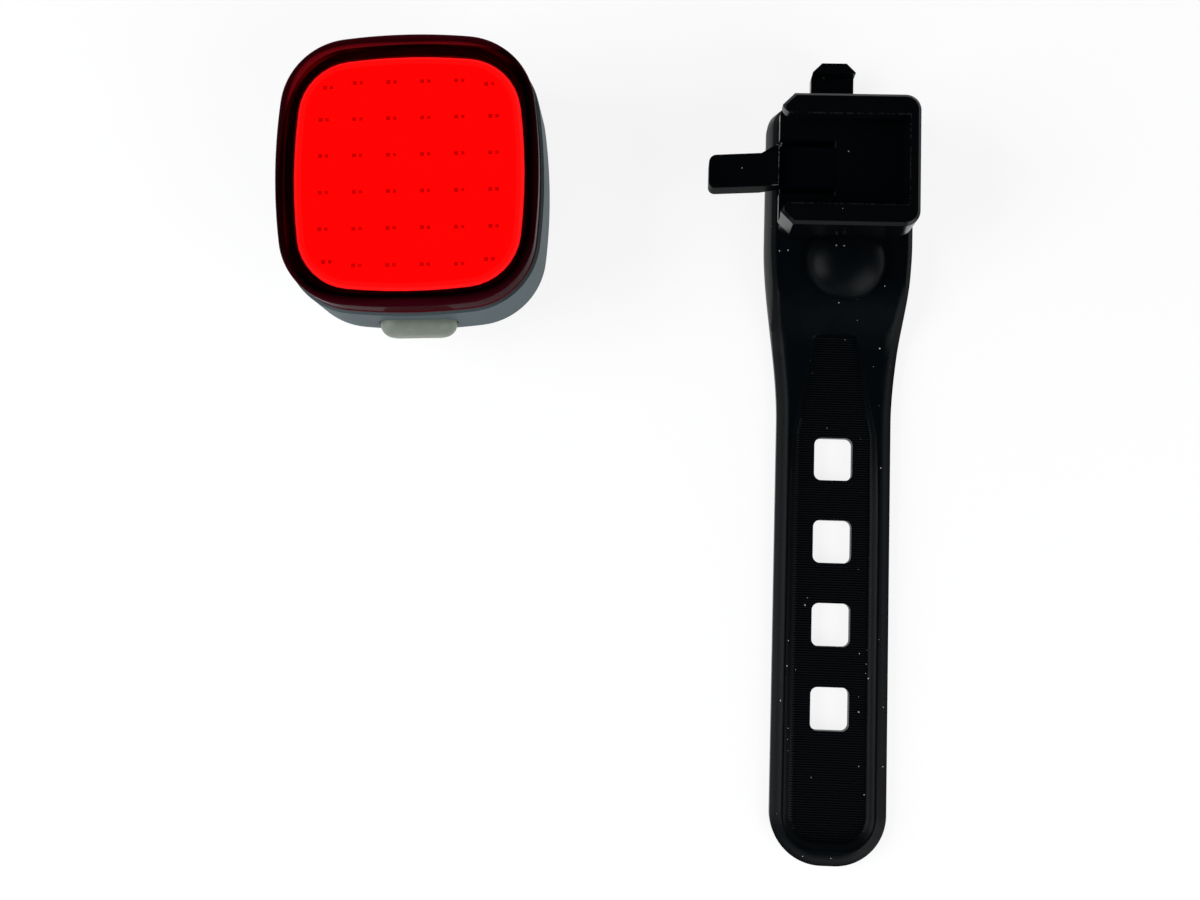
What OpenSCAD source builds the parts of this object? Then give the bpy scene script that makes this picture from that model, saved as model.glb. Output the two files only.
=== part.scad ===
// Bicycle rear light and its rubber strap mount, lying side by side on a table, in millimetres.
// +X runs to the right, +Y runs up the strap towards its hook, +Z points up from the table.
// The origin is on the table, under the middle of the slide receiver.

/* [Layout] */
// Place of the light's centre across X
light_x = -72.9; // [-120:0.1:-62]
// Place of the light's centre along Y
light_y = -4.5; // [-60:0.1:40]
// Turn of the light on the table, in degrees
light_turn = 2.3; // [-8:0.1:8]

/* [Lens] */
// Width of the lens
lens_w = 43.5; // [41:0.1:56]
// Length of the lens
lens_len = 45.7; // [43:0.1:58]
// Corner radius of the lens, seen from the front
corner_r = 12; // [10:0.1:14]
// Radius of the gently bowed sides
side_bow_r = 95; // [70:1:200]
// Depth of the lens from its front face to the seam
lens_depth = 5.9; // [5:0.1:9]
// Thickness of the lens front
lens_front_t = 1.8; // [1:0.1:2.4]
// Thickness of the lens skirt
lens_wall = 1.5; // [1.2:0.1:1.7]
// Radius of the lens front edge
lens_edge_r = 1.6; // [0.6:0.1:1.8]

/* [Housing] */
// Depth of the housing from its back to the seam
housing_depth = 13.4; // [11:0.1:18]
// Thickness of the housing wall
housing_wall = 2; // [1.8:0.1:2.6]
// Thickness of the housing back
housing_back_t = 1.6; // [1.2:0.1:2.4]
// How far the housing stands out past the lens
housing_flare = 0.4; // [0.2:0.1:0.8]
// Radius of the housing back edge
housing_edge_r = 1.8; // [1.5:0.1:3.2]
// Thickness of the seam gasket
gasket_t = 0.8; // [0.5:0.1:1.5]
// Width of the seam gasket
gasket_w = 0.8; // [0.5:0.1:1]
// Distance of the gasket from the lens edge
gasket_inset = 0.2; // [0.1:0.1:0.4]

/* [LED panel] */
// Margin from lens edge to panel edge across X
panel_margin_x = 2.6; // [2.4:0.1:3.4]
// Margin from lens edge to panel edge along Y
panel_margin_y = 3.1; // [2.4:0.1:3.8]
// Corner radius of the panel
panel_corner_r = 9.4; // [7:0.1:10]
// Thickness of the LED board
led_board_t = 1.2; // [0.8:0.1:1.6]
// Air gap between the LED board and the lens
lens_gap = 1.6; // [1.2:0.1:2]
// Ledge of the bezel frame under the board edge
bezel_ledge = 1.4; // [0.8:0.1:2]
// Height of the bezel frame above the LED board
bezel_lip = 0.4; // [0.2:0.1:0.8]
// Distance of the dam from the panel edge
dam_inset = 0.5; // [0.2:0.1:1]
// Width of the dam
dam_w = 0.7; // [0.4:0.1:1]
// Height of the dam
dam_h = 0.5; // [0.4:0.1:0.8]
// Thickness of the fill inside the dam
fill_t = 0.4; // [0.3:0.05:0.4]
// LED columns
led_cols = 6; // [4:1:6]
// LED rows
led_rows = 6; // [4:1:6]
// Distance from the panel edge to the first LED column
led_margin_x = 5; // [4.6:0.05:6]
// Distance from the panel edge to the first LED row
led_margin_y = 4.3; // [4:0.05:6]
// Distance between the two chips of a pair
chip_gap = 1.1; // [1:0.05:1.6]
// Side of the larger chip in a pair
chip_side = 0.75; // [0.5:0.05:0.9]
// Side of the smaller chip in a pair
small_chip_side = 0.65; // [0.4:0.05:0.9]
// How far the corner pairs move inwards
corner_pull = 0.7; // [0:0.05:1.2]

/* [Electronics] */
// Margin from the lens edge to the control board edge
board_margin = 4.8; // [4.2:0.1:5.4]
// Corner radius of the control board
board_corner_r = 4; // [2:0.1:6]
// Thickness of the control board
board_t = 1; // [0.8:0.1:1.6]
// Height of the posts that carry the control board
post_h = 6.4; // [6:0.1:7]
// Radius of a post
post_r = 2; // [1.6:0.1:2.2]
// Distance of a post from the two board edges
post_inset = 3.4; // [3:0.1:3.8]
// Shank radius of a board screw
screw_r = 0.7; // [0.5:0.05:0.9]
// Shank length of a board screw
screw_len = 4; // [3:0.1:5]
// Head radius of a board screw
screw_head_r = 1.3; // [1.2:0.05:1.8]
// Head height of a board screw
screw_head_h = 0.9; // [0.6:0.1:1.2]
// Width of the battery cell
cell_w = 30; // [24:0.5:31]
// Length of the battery cell
cell_len = 20; // [16:0.5:20.5]
// Thickness of the battery cell
cell_t = 5; // [3.5:0.1:5.1]
// Edge radius of the battery cell
cell_edge_r = 1.2; // [0.5:0.1:1.6]
// Thickness of the foam pad under the cell
pad_t = 0.4; // [0.2:0.1:0.5]
// Margin of the foam pad inside the cell outline
pad_margin = 3; // [1:0.5:5]
// Radius of a battery lead
lead_r = 0.45; // [0.3:0.05:0.6]
// Distance between the two battery leads
lead_gap = 2; // [1.4:0.1:3]
// Place of the battery leads left of the middle
lead_x = 9; // [7:0.1:10]
// Length that the leads run out of the cell
lead_out = 1.6; // [1.2:0.1:2]
// Side of a link pin
pin_side = 0.64; // [0.5:0.01:0.8]
// Pitch of the link pins
pin_pitch = 2.54; // [2:0.01:2.6]
// Place of the link pins up from the board's middle
pin_y = 8; // [6:0.1:12]
// Length of the driver chip
driver_len = 5; // [4:0.1:6]
// Width of the driver chip
driver_w = 4; // [3:0.1:4.4]
// Height of the driver chip
driver_h = 1.4; // [0.8:0.1:1.8]
// Side of the charge chip
charger_side = 3; // [2:0.1:4]
// Height of the charge chip
charger_h = 0.9; // [0.6:0.1:1.4]
// Distance of the chips from the board's middle line
chip_offset = 6; // [4:0.1:9]
// Length of the status LED
status_len = 1.6; // [1:0.1:2]
// Depth of the status LED
status_w = 0.8; // [0.5:0.1:1.2]
// Height of the status LED
status_h = 0.6; // [0.4:0.1:1]
// Place of the status LED right of the switch
status_x = 5; // [4.5:0.1:8]

/* [Button] */
// Width of the button
button_w = 13.1; // [10:0.1:15]
// Height of the button
button_h = 6.4; // [5:0.1:6.6]
// How far the button stands out of the wall
button_proud = 2.3; // [2:0.1:3]
// Radius of the button's outer edge
button_edge_r = 2.2; // [0.6:0.1:2.4]
// Gap round the button in its opening
button_play = 0.25; // [0.15:0.05:0.4]
// Rim of the button behind the wall
button_rim = 1.1; // [0.8:0.1:1.4]
// Thickness of that rim
button_rim_t = 1; // [0.6:0.1:1]
// Gap between that rim and the wall
button_seat_gap = 0.1; // [0.05:0.05:0.3]
// Travel of the button
button_travel = 0.7; // [0.3:0.1:0.8]
// Width of the switch body
switch_w = 6; // [4:0.1:8]
// Height of the switch body
switch_h = 3; // [2.5:0.1:3.4]
// Depth of the switch body
switch_len = 3.5; // [3:0.1:3.6]
// Radius of the switch plunger
plunger_r = 0.9; // [0.6:0.05:1.1]
// Running gap round the plunger
plunger_play = 0.05; // [0.03:0.01:0.1]
// How far the plunger stands out of the switch
plunger_out = 1.4; // [1:0.1:1.4]
// How far the plunger reaches into the switch
plunger_in = 1.2; // [0.8:0.1:1.4]
// Radius of the nub on the button that meets the plunger
nub_r = 1.5; // [1:0.1:2]
// Gap between nub and plunger
nub_gap = 0.1; // [0.05:0.05:0.2]

/* [Charging port] */
// Width of the socket shell
usb_w = 8.94; // [7:0.01:9.5]
// Height of the socket shell
usb_h = 3.16; // [2.4:0.01:3.4]
// Length of the socket shell
usb_len = 7.3; // [6:0.1:8]
// Wall of the socket shell
usb_wall = 0.3; // [0.2:0.05:0.4]
// Width of the contact tongue
usb_tongue_w = 6.6; // [4:0.1:6.8]
// Thickness of the contact tongue
usb_tongue_t = 0.7; // [0.5:0.05:0.9]
// Length of the contact tongue
usb_tongue_len = 4.6; // [3:0.1:5]
// Gap between the socket mouth and the housing wall
usb_setback = 0.2; // [0.1:0.05:0.4]
// Gap round the socket in the port opening
port_play = 0.3; // [0.2:0.05:0.5]
// Depth of the recess that takes the cover
cover_recess = 1.1; // [0.9:0.05:1.2]
// Thickness of the cover plate
cover_t = 1.2; // [0.9:0.05:1.4]
// Height of the cover plate
cover_h = 5.8; // [5.2:0.1:6]
// Length of the cover past the hinge
cover_len = 13.2; // [12.4:0.1:14]
// Radius of the cover's hinge roll
cover_roll_r = 0.6; // [0.45:0.05:0.7]
// Gap round the cover in its recess
cover_play = 0.25; // [0.15:0.05:0.4]
// Running gap round the hinge roll
roll_play = 0.05; // [0.03:0.01:0.1]
// Finger gap at the cover's free end
nail_gap = 1; // [0.6:0.1:1.6]
// Depth of the plug that closes the port
plug_len = 0.8; // [0.4:0.1:0.8]
// Gap round the plug in the port opening
plug_play = 0.3; // [0.25:0.05:0.5]

/* [Receiver] */
// Length of the receiver, from mouth to closed end
receiver_len = 22.8; // [20:0.1:30]
// Width of the receiver, along the strap
receiver_w = 22.2; // [20:0.1:26]
// Thickness of the closed end
end_wall = 1.9; // [1.6:0.1:4]
// Thickness of the channel's side walls
side_wall = 1.9; // [1.4:0.1:2.6]
// Gap between the two lips
lip_gap = 15.1; // [12:0.1:15.6]
// Thickness of the lips
lip_t = 2.4; // [1.8:0.1:3.2]
// Clear height of the channel under the lips
channel_h = 2.8; // [2.4:0.1:4]
// Thickness of the channel floor
floor_t = 1.8; // [1.7:0.1:2.6]
// Height of the block under the channel
block_h = 6.5; // [6:0.1:10]
// How far that block is set in from the channel
block_inset = 0.6; // [0:0.1:1.2]
// Radius of the corners at the closed end
end_corner_r = 2.6; // [1.5:0.1:3.4]
// Cut of the corners at the mouth
mouth_corner = 2; // [1:0.1:2.6]
// Bevel along the top edge
top_bevel = 0.5; // [0.2:0.1:0.8]
// Rounding of the lips' inner corners at the mouth
lip_lead_r = 1.7; // [0.8:0.1:2.2]
// Play of the light's foot in the channel, on each side
slide_play = 0.2; // [0.1:0.05:0.3]

/* [Release tongue] */
// Width of the tongue
tongue_w = 7.1; // [5:0.1:8]
// Thickness of the tongue inside the channel
tongue_t = 1.6; // [1.2:0.1:1.6]
// Length of the tongue from mouth to root
tongue_len = 9.2; // [7:0.1:12]
// Gap on each side of the tongue
tongue_slit = 1.2; // [0.6:0.1:1.4]
// Depth of the bay that the tongue bends into, below the channel floor
bay_depth = 3.2; // [2.5:0.1:5]
// Running gap round the tongue's root
root_play = 0.05; // [0.03:0.01:0.1]
// Height of the latch ridge above the floor
latch_h = 1.2; // [0.8:0.1:1.5]
// Flat width on top of the latch ridge
latch_flat = 0.5; // [0.3:0.1:1]
// Length of the ramp in front of the latch
ramp_len = 2.4; // [1.5:0.1:4]
// Length of the thumb tab past the ramp
tab_len = 8.8; // [6:0.1:12]
// Drop of the thumb tab towards its tip
tab_drop = 1.6; // [0:0.1:4]
// Thickness of the thumb tab
tab_t = 4.2; // [2:0.1:4.6]
// Width of the thumb tab
tab_w = 5.8; // [4.4:0.1:6]
// Place of the thumb tab up from the tongue's middle line
tab_y = -0.5; // [-0.5:0.1:0.5]
// Corner radius of the thumb tab
tab_corner_r = 1.2; // [0.5:0.1:2]

/* [Strap] */
// Half width of the strap head
head_half_w = 12.7; // [12:0.1:16]
// Thickness of the strap head
head_t = 6.3; // [5:0.1:7]
// How far the strap head reaches past the receiver's middle
head_reach = 13.8; // [13:0.1:16]
// Corner radius of the strap head
head_corner_r = 3.6; // [1.5:0.1:5]
// Half width of the strap tail
tail_half_w = 9.9; // [9.2:0.1:12]
// Thickness of the strap tail
tail_t = 3.2; // [2.6:0.1:4]
// Distance from the receiver's middle to the tail end
tail_reach = 117.6; // [114:0.1:160]
// Corner radius of the tail end
tail_corner_r = 8.8; // [4:0.1:9]
// Distance from the receiver's middle to where the strap starts to narrow
taper_start = 10; // [6:0.5:16]
// Distance from the receiver's middle to where the narrowing ends
taper_end = 42; // [34:0.5:60]
// Distance from the receiver's middle to where the strap starts to thin
thin_start = 17; // [15:0.5:18]
// Distance from the receiver's middle to where the thinning ends
thin_end = 30; // [24:0.5:33]
// Width of the slope along the head's top edge
head_edge_w = 0.9; // [0.4:0.1:1.4]
// Height of the slope along the head's top edge
head_edge_h = 0.9; // [0.4:0.1:1.4]
// Width of the slope along the tail's top edge
tail_edge_w = 1.9; // [1:0.1:2]
// Height of the slope along the tail's top edge
tail_edge_h = 1.5; // [0.6:0.1:1.8]
// Radius of the dome in front of the receiver
dome_r = 7; // [5:0.1:8]
// Place of the dome right of the strap's middle line
dome_x = 1; // [-2:0.1:2]
// Height of the dome above the strap head
dome_h = 4.2; // [2:0.1:5]
// Distance from the receiver's middle to the dome's end
dome_reach = 21; // [19:0.1:23]
// Distance from the receiver's middle to the start of the recess
recess_start = 26.9; // [24:0.1:29]
// Distance from the receiver's middle to where the recess is full width
recess_full = 44; // [34:0.1:50]
// Distance from the tail end to the recess end
recess_margin = 4.2; // [4:0.1:8]
// Half width of the recess floor at its start
recess_start_half_w = 3.35; // [2:0.05:5]
// Half width of the recess floor along the tail
recess_half_w = 6.3; // [5:0.05:6.8]
// Depth of the recess
recess_depth = 1.2; // [0.4:0.1:1.6]
// Slope of the recess walls along the tail
recess_slope = 1.4; // [0.4:0.1:1.5]
// Corner radius of the recess end
recess_corner_r = 4.2; // [2:0.1:5]
// Number of adjusting holes
hole_count = 4; // [1:1:4]
// Width of an adjusting hole
hole_w = 6.6; // [5:0.1:8]
// Length of an adjusting hole
hole_len = 7.4; // [6:0.1:10]
// Corner radius of an adjusting hole
hole_corner_r = 1.2; // [0.5:0.1:2]
// Distance from the receiver's middle to the first hole
hole_start = 48.2; // [44:0.1:56]
// Pitch of the adjusting holes
hole_pitch = 14.35; // [13:0.05:18]

/* [Anchor and hook] */
// Width of the plate moulded into the strap head
anchor_w = 18; // [14:0.1:20]
// Length of that plate
anchor_len = 17; // [14:0.1:20]
// Thickness of that plate
anchor_t = 1.7; // [1.2:0.1:2]
// Rubber under that plate
anchor_cover = 1.5; // [1:0.1:1.8]
// Width of the stem between plate and block
stem_w = 12; // [8:0.1:14]
// Length of the stem
stem_len = 13; // [8:0.1:14]
// Gap between the rubber and what it is moulded round
mould_gap = 0.05; // [0.02:0.01:0.1]
// Width of the strap hook
hook_w = 7.5; // [6:0.1:10]
// Place of the strap hook right of the middle
hook_x = -1.4; // [-2.5:0.1:2.5]
// Thickness of the hook's shelf
hook_t = 2.2; // [1.8:0.1:2.6]
// Distance from the receiver's middle to the hook's tip
hook_reach = 21.3; // [20.2:0.1:24]
// Thickness of the hook's upturned lip
hook_lip_t = 1.8; // [1.2:0.1:2]
// Height of the lip above the shelf
hook_lip_h = 2.9; // [1.5:0.1:4]
// Cut of the hook's outer corners
hook_corner = 1.6; // [0.6:0.1:2]

/* [Hidden] */
$fn = 48;

// Steps along a half side, a corner and a rounded edge of the light's outline
side_steps = 3;
corner_steps = 8;
edge_steps = 4;
// Overlap that lets a cut break cleanly through a surface
cut = 1;
// Gap between pieces that slip together inside the light
slip = 0.1;

// Receiver levels and places
block_z = head_t;
channel_z = block_z + block_h;
floor_top = channel_z + floor_t;
lip_z = floor_top + channel_h;
receiver_top = lip_z + lip_t;
mouth_x = -receiver_len / 2;
end_x = receiver_len / 2 - end_wall;
channel_w = receiver_w - 2 * side_wall;
root_x = mouth_x + tongue_len;
root_z = floor_top - tongue_t / 2;
slot_w = tongue_w + 2 * tongue_slit;

// Foot of the light, sized to slide into the receiver
foot_w = channel_w - 2 * slide_play;
foot_len = end_x - mouth_x - 2 * slide_play;
foot_t = channel_h - 2 * slide_play;
neck_w = lip_gap - 2 * slide_play;
neck_h = lip_t + 2 * slide_play;

// Light levels, from the table up
housing_z = foot_t + neck_h;
inside_z = housing_z + housing_back_t;
rim_z = housing_z + housing_depth;
lens_z = rim_z + gasket_t;
front_z = lens_z + lens_depth;
lens_under_z = front_z - lens_front_t;
led_top_z = lens_under_z - lens_gap;
led_board_z = led_top_z - led_board_t;
control_z = inside_z + post_h;
control_top = control_z + board_t;
switch_z = control_z - switch_h / 2;
usb_z = control_z - usb_h / 2;

// Light places
wall_y = lens_len / 2 + housing_flare;
inner_y = wall_y - housing_wall;
cavity_inset = housing_wall - housing_flare;
panel_w = lens_w - 2 * panel_margin_x;
panel_len = lens_len - 2 * panel_margin_y;
board_w = lens_w - 2 * board_margin;
board_len = lens_len - 2 * board_margin;
led_pitch_x = (panel_w - 2 * led_margin_x) / (led_cols - 1);
led_pitch_y = (panel_len - 2 * led_margin_y) / (led_rows - 1);
post_x = board_w / 2 - post_inset;
post_y = board_len / 2 - post_inset;
switch_face = board_len / 2;
rim_face = inner_y - button_seat_gap;
usb_mouth = inner_y - usb_setback;
port_w = usb_w + 2 * port_play;
port_h = usb_h + 2 * port_play;
recess_y = wall_y - cover_recess;
roll_x = -cover_len / 2;
roll_y = recess_y + cover_roll_r - roll_play - slip;

// Strap places, with Y falling towards the tail
tail_y = -tail_reach;
dome_y = dome_r - dome_reach;
recess_floor = tail_t - recess_depth;
recess_end_y = tail_y + recess_margin;

// Outline with bowed sides and round corners, drawn in by inset on every side
function bowed_outline(w, len, r, bow, inset) =
    let (
        a = bow - w / 2,
        b = bow - len / 2,
        reach = bow - r,
        m = a / b,
        k = (a * a - b * b) / (2 * b),
        p = a + m * k,
        q = 1 + m * m,
        cx = (sqrt(p * p - q * (a * a + k * k - reach * reach)) - p) / q,
        cy = m * cx + k,
        low = atan2(cy, cx + a),
        high = atan2(cy + b, cx),
        side = bow - inset,
        corner = r - inset,
        quarter = concat(
            [for (i = [0 : side_steps - 1]) let (t = low * i / side_steps)
                [side * cos(t) - a, side * sin(t)]],
            [for (i = [0 : corner_steps - 1]) let (t = low + (high - low) * i / corner_steps)
                [cx + corner * cos(t), cy + corner * sin(t)]],
            [for (i = [0 : side_steps]) let (t = high + (90 - high) * i / side_steps)
                [side * cos(t), side * sin(t) - b]]
        ),
        n = len(quarter) - 1
    )
    concat(
        [for (i = [0 : n - 1]) quarter[i]],
        [for (i = [n : -1 : 1]) [-quarter[i].x, quarter[i].y]],
        [for (i = [0 : n - 1]) -quarter[i]],
        [for (i = [n : -1 : 1]) [quarter[i].x, -quarter[i].y]]
    );

function light_outline(inset) = bowed_outline(lens_w, lens_len, corner_r, side_bow_r, inset);
function panel_outline(inset) = bowed_outline(panel_w, panel_len, panel_corner_r, side_bow_r, inset);

// Outline of a pill that lies along X, drawn in by inset
function pill_outline(w, h, inset) =
    let (r = h / 2 - inset, reach = w / 2 - h / 2)
    concat(
        [for (i = [0 : corner_steps]) let (t = -90 + 180 * i / corner_steps) [reach + r * cos(t), r * sin(t)]],
        [for (i = [0 : corner_steps]) let (t = 90 + 180 * i / corner_steps) [r * cos(t) - reach, r * sin(t)]]
    );

// Outline of the receiver: cut corners at the mouth, round corners at the closed end
function receiver_outline(inset) =
    let (
        x = receiver_len / 2 - inset,
        y = receiver_w / 2 - inset,
        c = mouth_corner - inset * (2 - sqrt(2)),
        r = end_corner_r - inset
    )
    concat(
        [[c - x, -y]],
        [for (i = [0 : corner_steps]) let (t = 90 * i / corner_steps - 90) [x - r + r * cos(t), r - y + r * sin(t)]],
        [for (i = [0 : corner_steps]) let (t = 90 * i / corner_steps) [x - r + r * cos(t), y - r + r * sin(t)]],
        [[c - x, y], [-x, y - c], [-x, c - y]]
    );

function at_height(points, z) = [for (p = points) [p.x, p.y, z]];

// Inset and height pairs that round an edge over, up to a top face or down to a bottom face
function rounded_top(top, r) =
    [for (i = [0 : edge_steps]) let (t = 90 * i / edge_steps) [r * (1 - cos(t)), top - r + r * sin(t)]];
function rounded_bottom(bottom, r) =
    [for (i = [edge_steps : -1 : 0]) let (t = 90 * i / edge_steps) [r * (1 - cos(t)), bottom + r - r * sin(t)]];

// Solid skinned over a stack of rings, each with the same number of points
module skin(rings) {
    n = len(rings[0]);
    last = len(rings) - 1;
    polyhedron(
        points = [for (ring = rings) each ring],
        faces = concat(
            [[for (i = [0 : n - 1]) i]],
            [[for (i = [n - 1 : -1 : 0]) last * n + i]],
            [for (k = [0 : last - 1], i = [0 : n - 1])
                let (j = (i + 1) % n) each [
                    [k * n + i, k * n + n + i, k * n + n + j],
                    [k * n + i, k * n + n + j, k * n + j]
                ]]
        )
    );
}

module on_light() {
    translate([light_x, light_y, 0]) rotate([0, 0, light_turn]) children();
}

// Frames on the light's lower and upper walls: X along the wall, Z outwards from the light's middle
module on_lower_wall(z) {
    translate([0, 0, z]) rotate([90, 0, 0]) children();
}

module on_upper_wall(z) {
    translate([0, 0, z]) rotate([-90, 0, 0]) children();
}

module slab(points, z, h) {
    translate([0, 0, z]) linear_extrude(h) polygon(points);
}

module block(size, z) {
    translate([-size.x / 2, -size.y / 2, z]) cube(size);
}

module pill(w, h) {
    square([w - h, h], center = true);
    for (side = [-1, 1]) translate([side * (w - h) / 2, 0]) circle(d = h);
}

module rounded_rect(w, h, r) {
    square([w - 2 * r, h], center = true);
    square([w, h - 2 * r], center = true);
    for (sx = [-1, 1], sy = [-1, 1]) translate([sx * (w / 2 - r), sy * (h / 2 - r)]) circle(r);
}

module at_posts() {
    for (sx = [-1, 1], sy = [-1, 1]) translate([sx * post_x, sy * post_y, 0]) children();
}

// Light head

module lens() {
    rings = concat([[0, lens_z]], rounded_top(front_z, lens_edge_r));
    on_light() color("darkred") difference() {
        skin([for (r = rings) at_height(light_outline(r[0]), r[1])]);
        slab(light_outline(lens_wall), lens_z - cut, lens_under_z - lens_z + cut);
    }
}

module lens_gasket() {
    on_light() color("black") difference() {
        slab(light_outline(gasket_inset), rim_z, gasket_t);
        slab(light_outline(gasket_inset + gasket_w), rim_z - cut, gasket_t + 2 * cut);
    }
}

module bezel_frame() {
    rise = led_top_z + bezel_lip - lens_z;
    on_light() color("black") difference() {
        union() {
            slab(light_outline(gasket_inset + gasket_w + slip), rim_z, gasket_t);
            slab(light_outline(lens_wall + slip), lens_z, rise);
        }
        slab(panel_outline(bezel_ledge), rim_z - cut, led_top_z - rim_z + 2 * cut);
        slab(panel_outline(-slip), led_board_z, led_board_t + bezel_lip + cut);
    }
}

module led_board() {
    on_light() color("white") slab(panel_outline(0), led_board_z, led_board_t);
}

module cob_dam() {
    on_light() color("mistyrose") difference() {
        slab(panel_outline(dam_inset), led_top_z, dam_h);
        slab(panel_outline(dam_inset + dam_w), led_top_z - cut, dam_h + 2 * cut);
    }
}

// Every chip, moved to its place on the LED board: a larger and a smaller one in each pair
module each_chip() {
    for (col = [0 : led_cols - 1], row = [0 : led_rows - 1]) {
        u = col - (led_cols - 1) / 2;
        v = row - (led_rows - 1) / 2;
        is_corner = abs(u) == (led_cols - 1) / 2 && abs(v) == (led_rows - 1) / 2;
        pull = is_corner ? corner_pull : 0;
        translate([u * led_pitch_x - sign(u) * pull, v * led_pitch_y - sign(v) * pull, led_top_z]) {
            translate([-chip_gap / 2, 0, 0]) block([chip_side, chip_side, fill_t], 0);
            translate([chip_gap / 2, 0, 0]) block([small_chip_side, small_chip_side, fill_t], 0);
        }
    }
}

module led_chips() {
    on_light() color("maroon") each_chip();
}

module cob_fill() {
    on_light() color("red") difference() {
        slab(panel_outline(dam_inset + dam_w), led_top_z, fill_t);
        each_chip();
    }
}

// T-shaped foot that slides into the receiver along the light's length
module foot() {
    block([foot_w, foot_len, foot_t], 0);
    block([neck_w, foot_len, neck_h + housing_edge_r / 2], foot_t);
}

module housing() {
    rings = concat(rounded_bottom(housing_z, housing_edge_r), [[0, rim_z]]);
    on_light() color("silver") difference() {
        union() {
            difference() {
                union() {
                    skin([for (r = rings) at_height(light_outline(r[0] - housing_flare), r[1])]);
                    foot();
                }
                slab(light_outline(cavity_inset), inside_z, rim_z - inside_z + cut);
            }
            at_posts() translate([0, 0, inside_z]) cylinder(r = post_r, h = post_h);
        }
        at_posts() translate([0, 0, control_z + board_t - screw_len])
            cylinder(r = screw_r + slip / 2, h = screw_len);
        button_opening();
        port_opening();
    }
}

// Pill-shaped hole for the button, with a flat seat for its rim behind the wall
module button_opening() {
    seat_w = button_w + 2 * (button_rim + button_play);
    seat_h = button_h + 2 * (button_rim + button_play);
    on_lower_wall(switch_z) {
        translate([0, 0, inner_y - cut]) {
            linear_extrude(housing_wall + 2 * cut) pill(button_w + 2 * button_play, button_h + 2 * button_play);
            linear_extrude(cut) pill(seat_w, seat_h);
        }
    }
}

// Port hole, the recess for its cover and the round seat of the cover's hinge roll
module port_opening() {
    left = roll_x - cover_roll_r - 2 * cover_play;
    right = roll_x + cover_len + nail_gap;
    recess_h = cover_h + 2 * cover_play;
    on_upper_wall(usb_z) {
        translate([0, 0, inner_y - cut]) linear_extrude(housing_wall + 2 * cut) pill(port_w, port_h);
        translate([left, -recess_h / 2, recess_y]) cube([right - left, recess_h, cover_recess + cut]);
    }
    translate([roll_x, roll_y, usb_z - recess_h / 2]) cylinder(r = cover_roll_r + roll_play, h = recess_h);
}

module power_button() {
    outer = wall_y + button_proud;
    rings = concat([[0, rim_face - button_rim_t]], rounded_top(outer, button_edge_r));
    nub_z = switch_face + plunger_out + nub_gap;
    on_light() color("gainsboro") on_lower_wall(switch_z) {
        skin([for (r = rings) at_height(pill_outline(button_w, button_h, r[0]), r[1])]);
        translate([0, 0, rim_face - button_rim_t]) linear_extrude(button_rim_t)
            pill(button_w + 2 * button_rim, button_h + 2 * button_rim);
        translate([0, 0, nub_z]) cylinder(r = nub_r, h = rim_face - nub_z);
    }
}

module tact_switch() {
    on_light() color("dimgray") on_lower_wall(switch_z) difference() {
        block([switch_w, switch_h, switch_len], switch_face - switch_len);
        translate([0, 0, switch_face - plunger_in - 2 * button_travel])
            cylinder(r = plunger_r + plunger_play, h = plunger_in + 2 * button_travel + cut);
    }
}

module switch_plunger() {
    on_light() color("ivory") on_lower_wall(switch_z)
        translate([0, 0, switch_face - plunger_in]) cylinder(r = plunger_r, h = plunger_in + plunger_out);
}

module status_led() {
    y = status_w / 2 - switch_face + slip;
    on_light() color("lime") translate([status_x, y, 0])
        block([status_len, status_w, status_h], control_z - status_h);
}

module control_board() {
    on_light() color("darkgreen") difference() {
        translate([0, 0, control_z]) linear_extrude(board_t) rounded_rect(board_w, board_len, board_corner_r);
        at_posts() translate([0, 0, control_z - cut]) cylinder(r = screw_r + slip, h = board_t + 2 * cut);
    }
}

module board_screws() {
    on_light() color("silver") at_posts() {
        translate([0, 0, control_top - screw_len]) cylinder(r = screw_r, h = screw_len);
        translate([0, 0, control_top]) cylinder(r = screw_head_r, h = screw_head_h);
    }
}

module driver_chip() {
    on_light() color("black") translate([-chip_offset, 0, 0]) block([driver_len, driver_w, driver_h], control_top);
}

module charge_chip() {
    on_light() color("black") translate([chip_offset, 0, 0])
        block([charger_side, charger_side, charger_h], control_top);
}

module link_pins() {
    on_light() color("gold") for (side = [-1, 1]) translate([side * pin_pitch / 2, pin_y, 0])
        block([pin_side, pin_side, led_board_z - control_top], control_top);
}

module usb_shell() {
    on_light() color("lightgray") on_upper_wall(usb_z) translate([0, 0, usb_mouth - usb_len]) difference() {
        linear_extrude(usb_len) pill(usb_w, usb_h);
        translate([0, 0, usb_wall]) linear_extrude(usb_len) pill(usb_w - 2 * usb_wall, usb_h - 2 * usb_wall);
    }
}

module usb_tongue() {
    on_light() color("black") on_upper_wall(usb_z)
        block([usb_tongue_w, usb_tongue_t, usb_tongue_len], usb_mouth - usb_len + usb_wall);
}

// Flap that turns about the roll at its left end, with a plug that closes the port
module usb_cover() {
    plate_y = recess_y + slip / 2;
    on_light() color("dimgray") {
        on_upper_wall(usb_z) {
            translate([roll_x, -cover_h / 2, plate_y]) cube([cover_len, cover_h, cover_t]);
            translate([0, 0, recess_y - plug_len]) linear_extrude(plug_len + cover_t / 2)
                pill(port_w - 2 * plug_play, port_h - 2 * plug_play);
        }
        translate([roll_x, roll_y, usb_z - cover_h / 2]) cylinder(r = cover_roll_r, h = cover_h);
    }
}

module battery_cell() {
    on_light() color("silver") translate([0, cell_len / 2, inside_z + pad_t + cell_t / 2]) rotate([90, 0, 0])
        linear_extrude(cell_len) rounded_rect(cell_w, cell_t, cell_edge_r);
}

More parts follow.
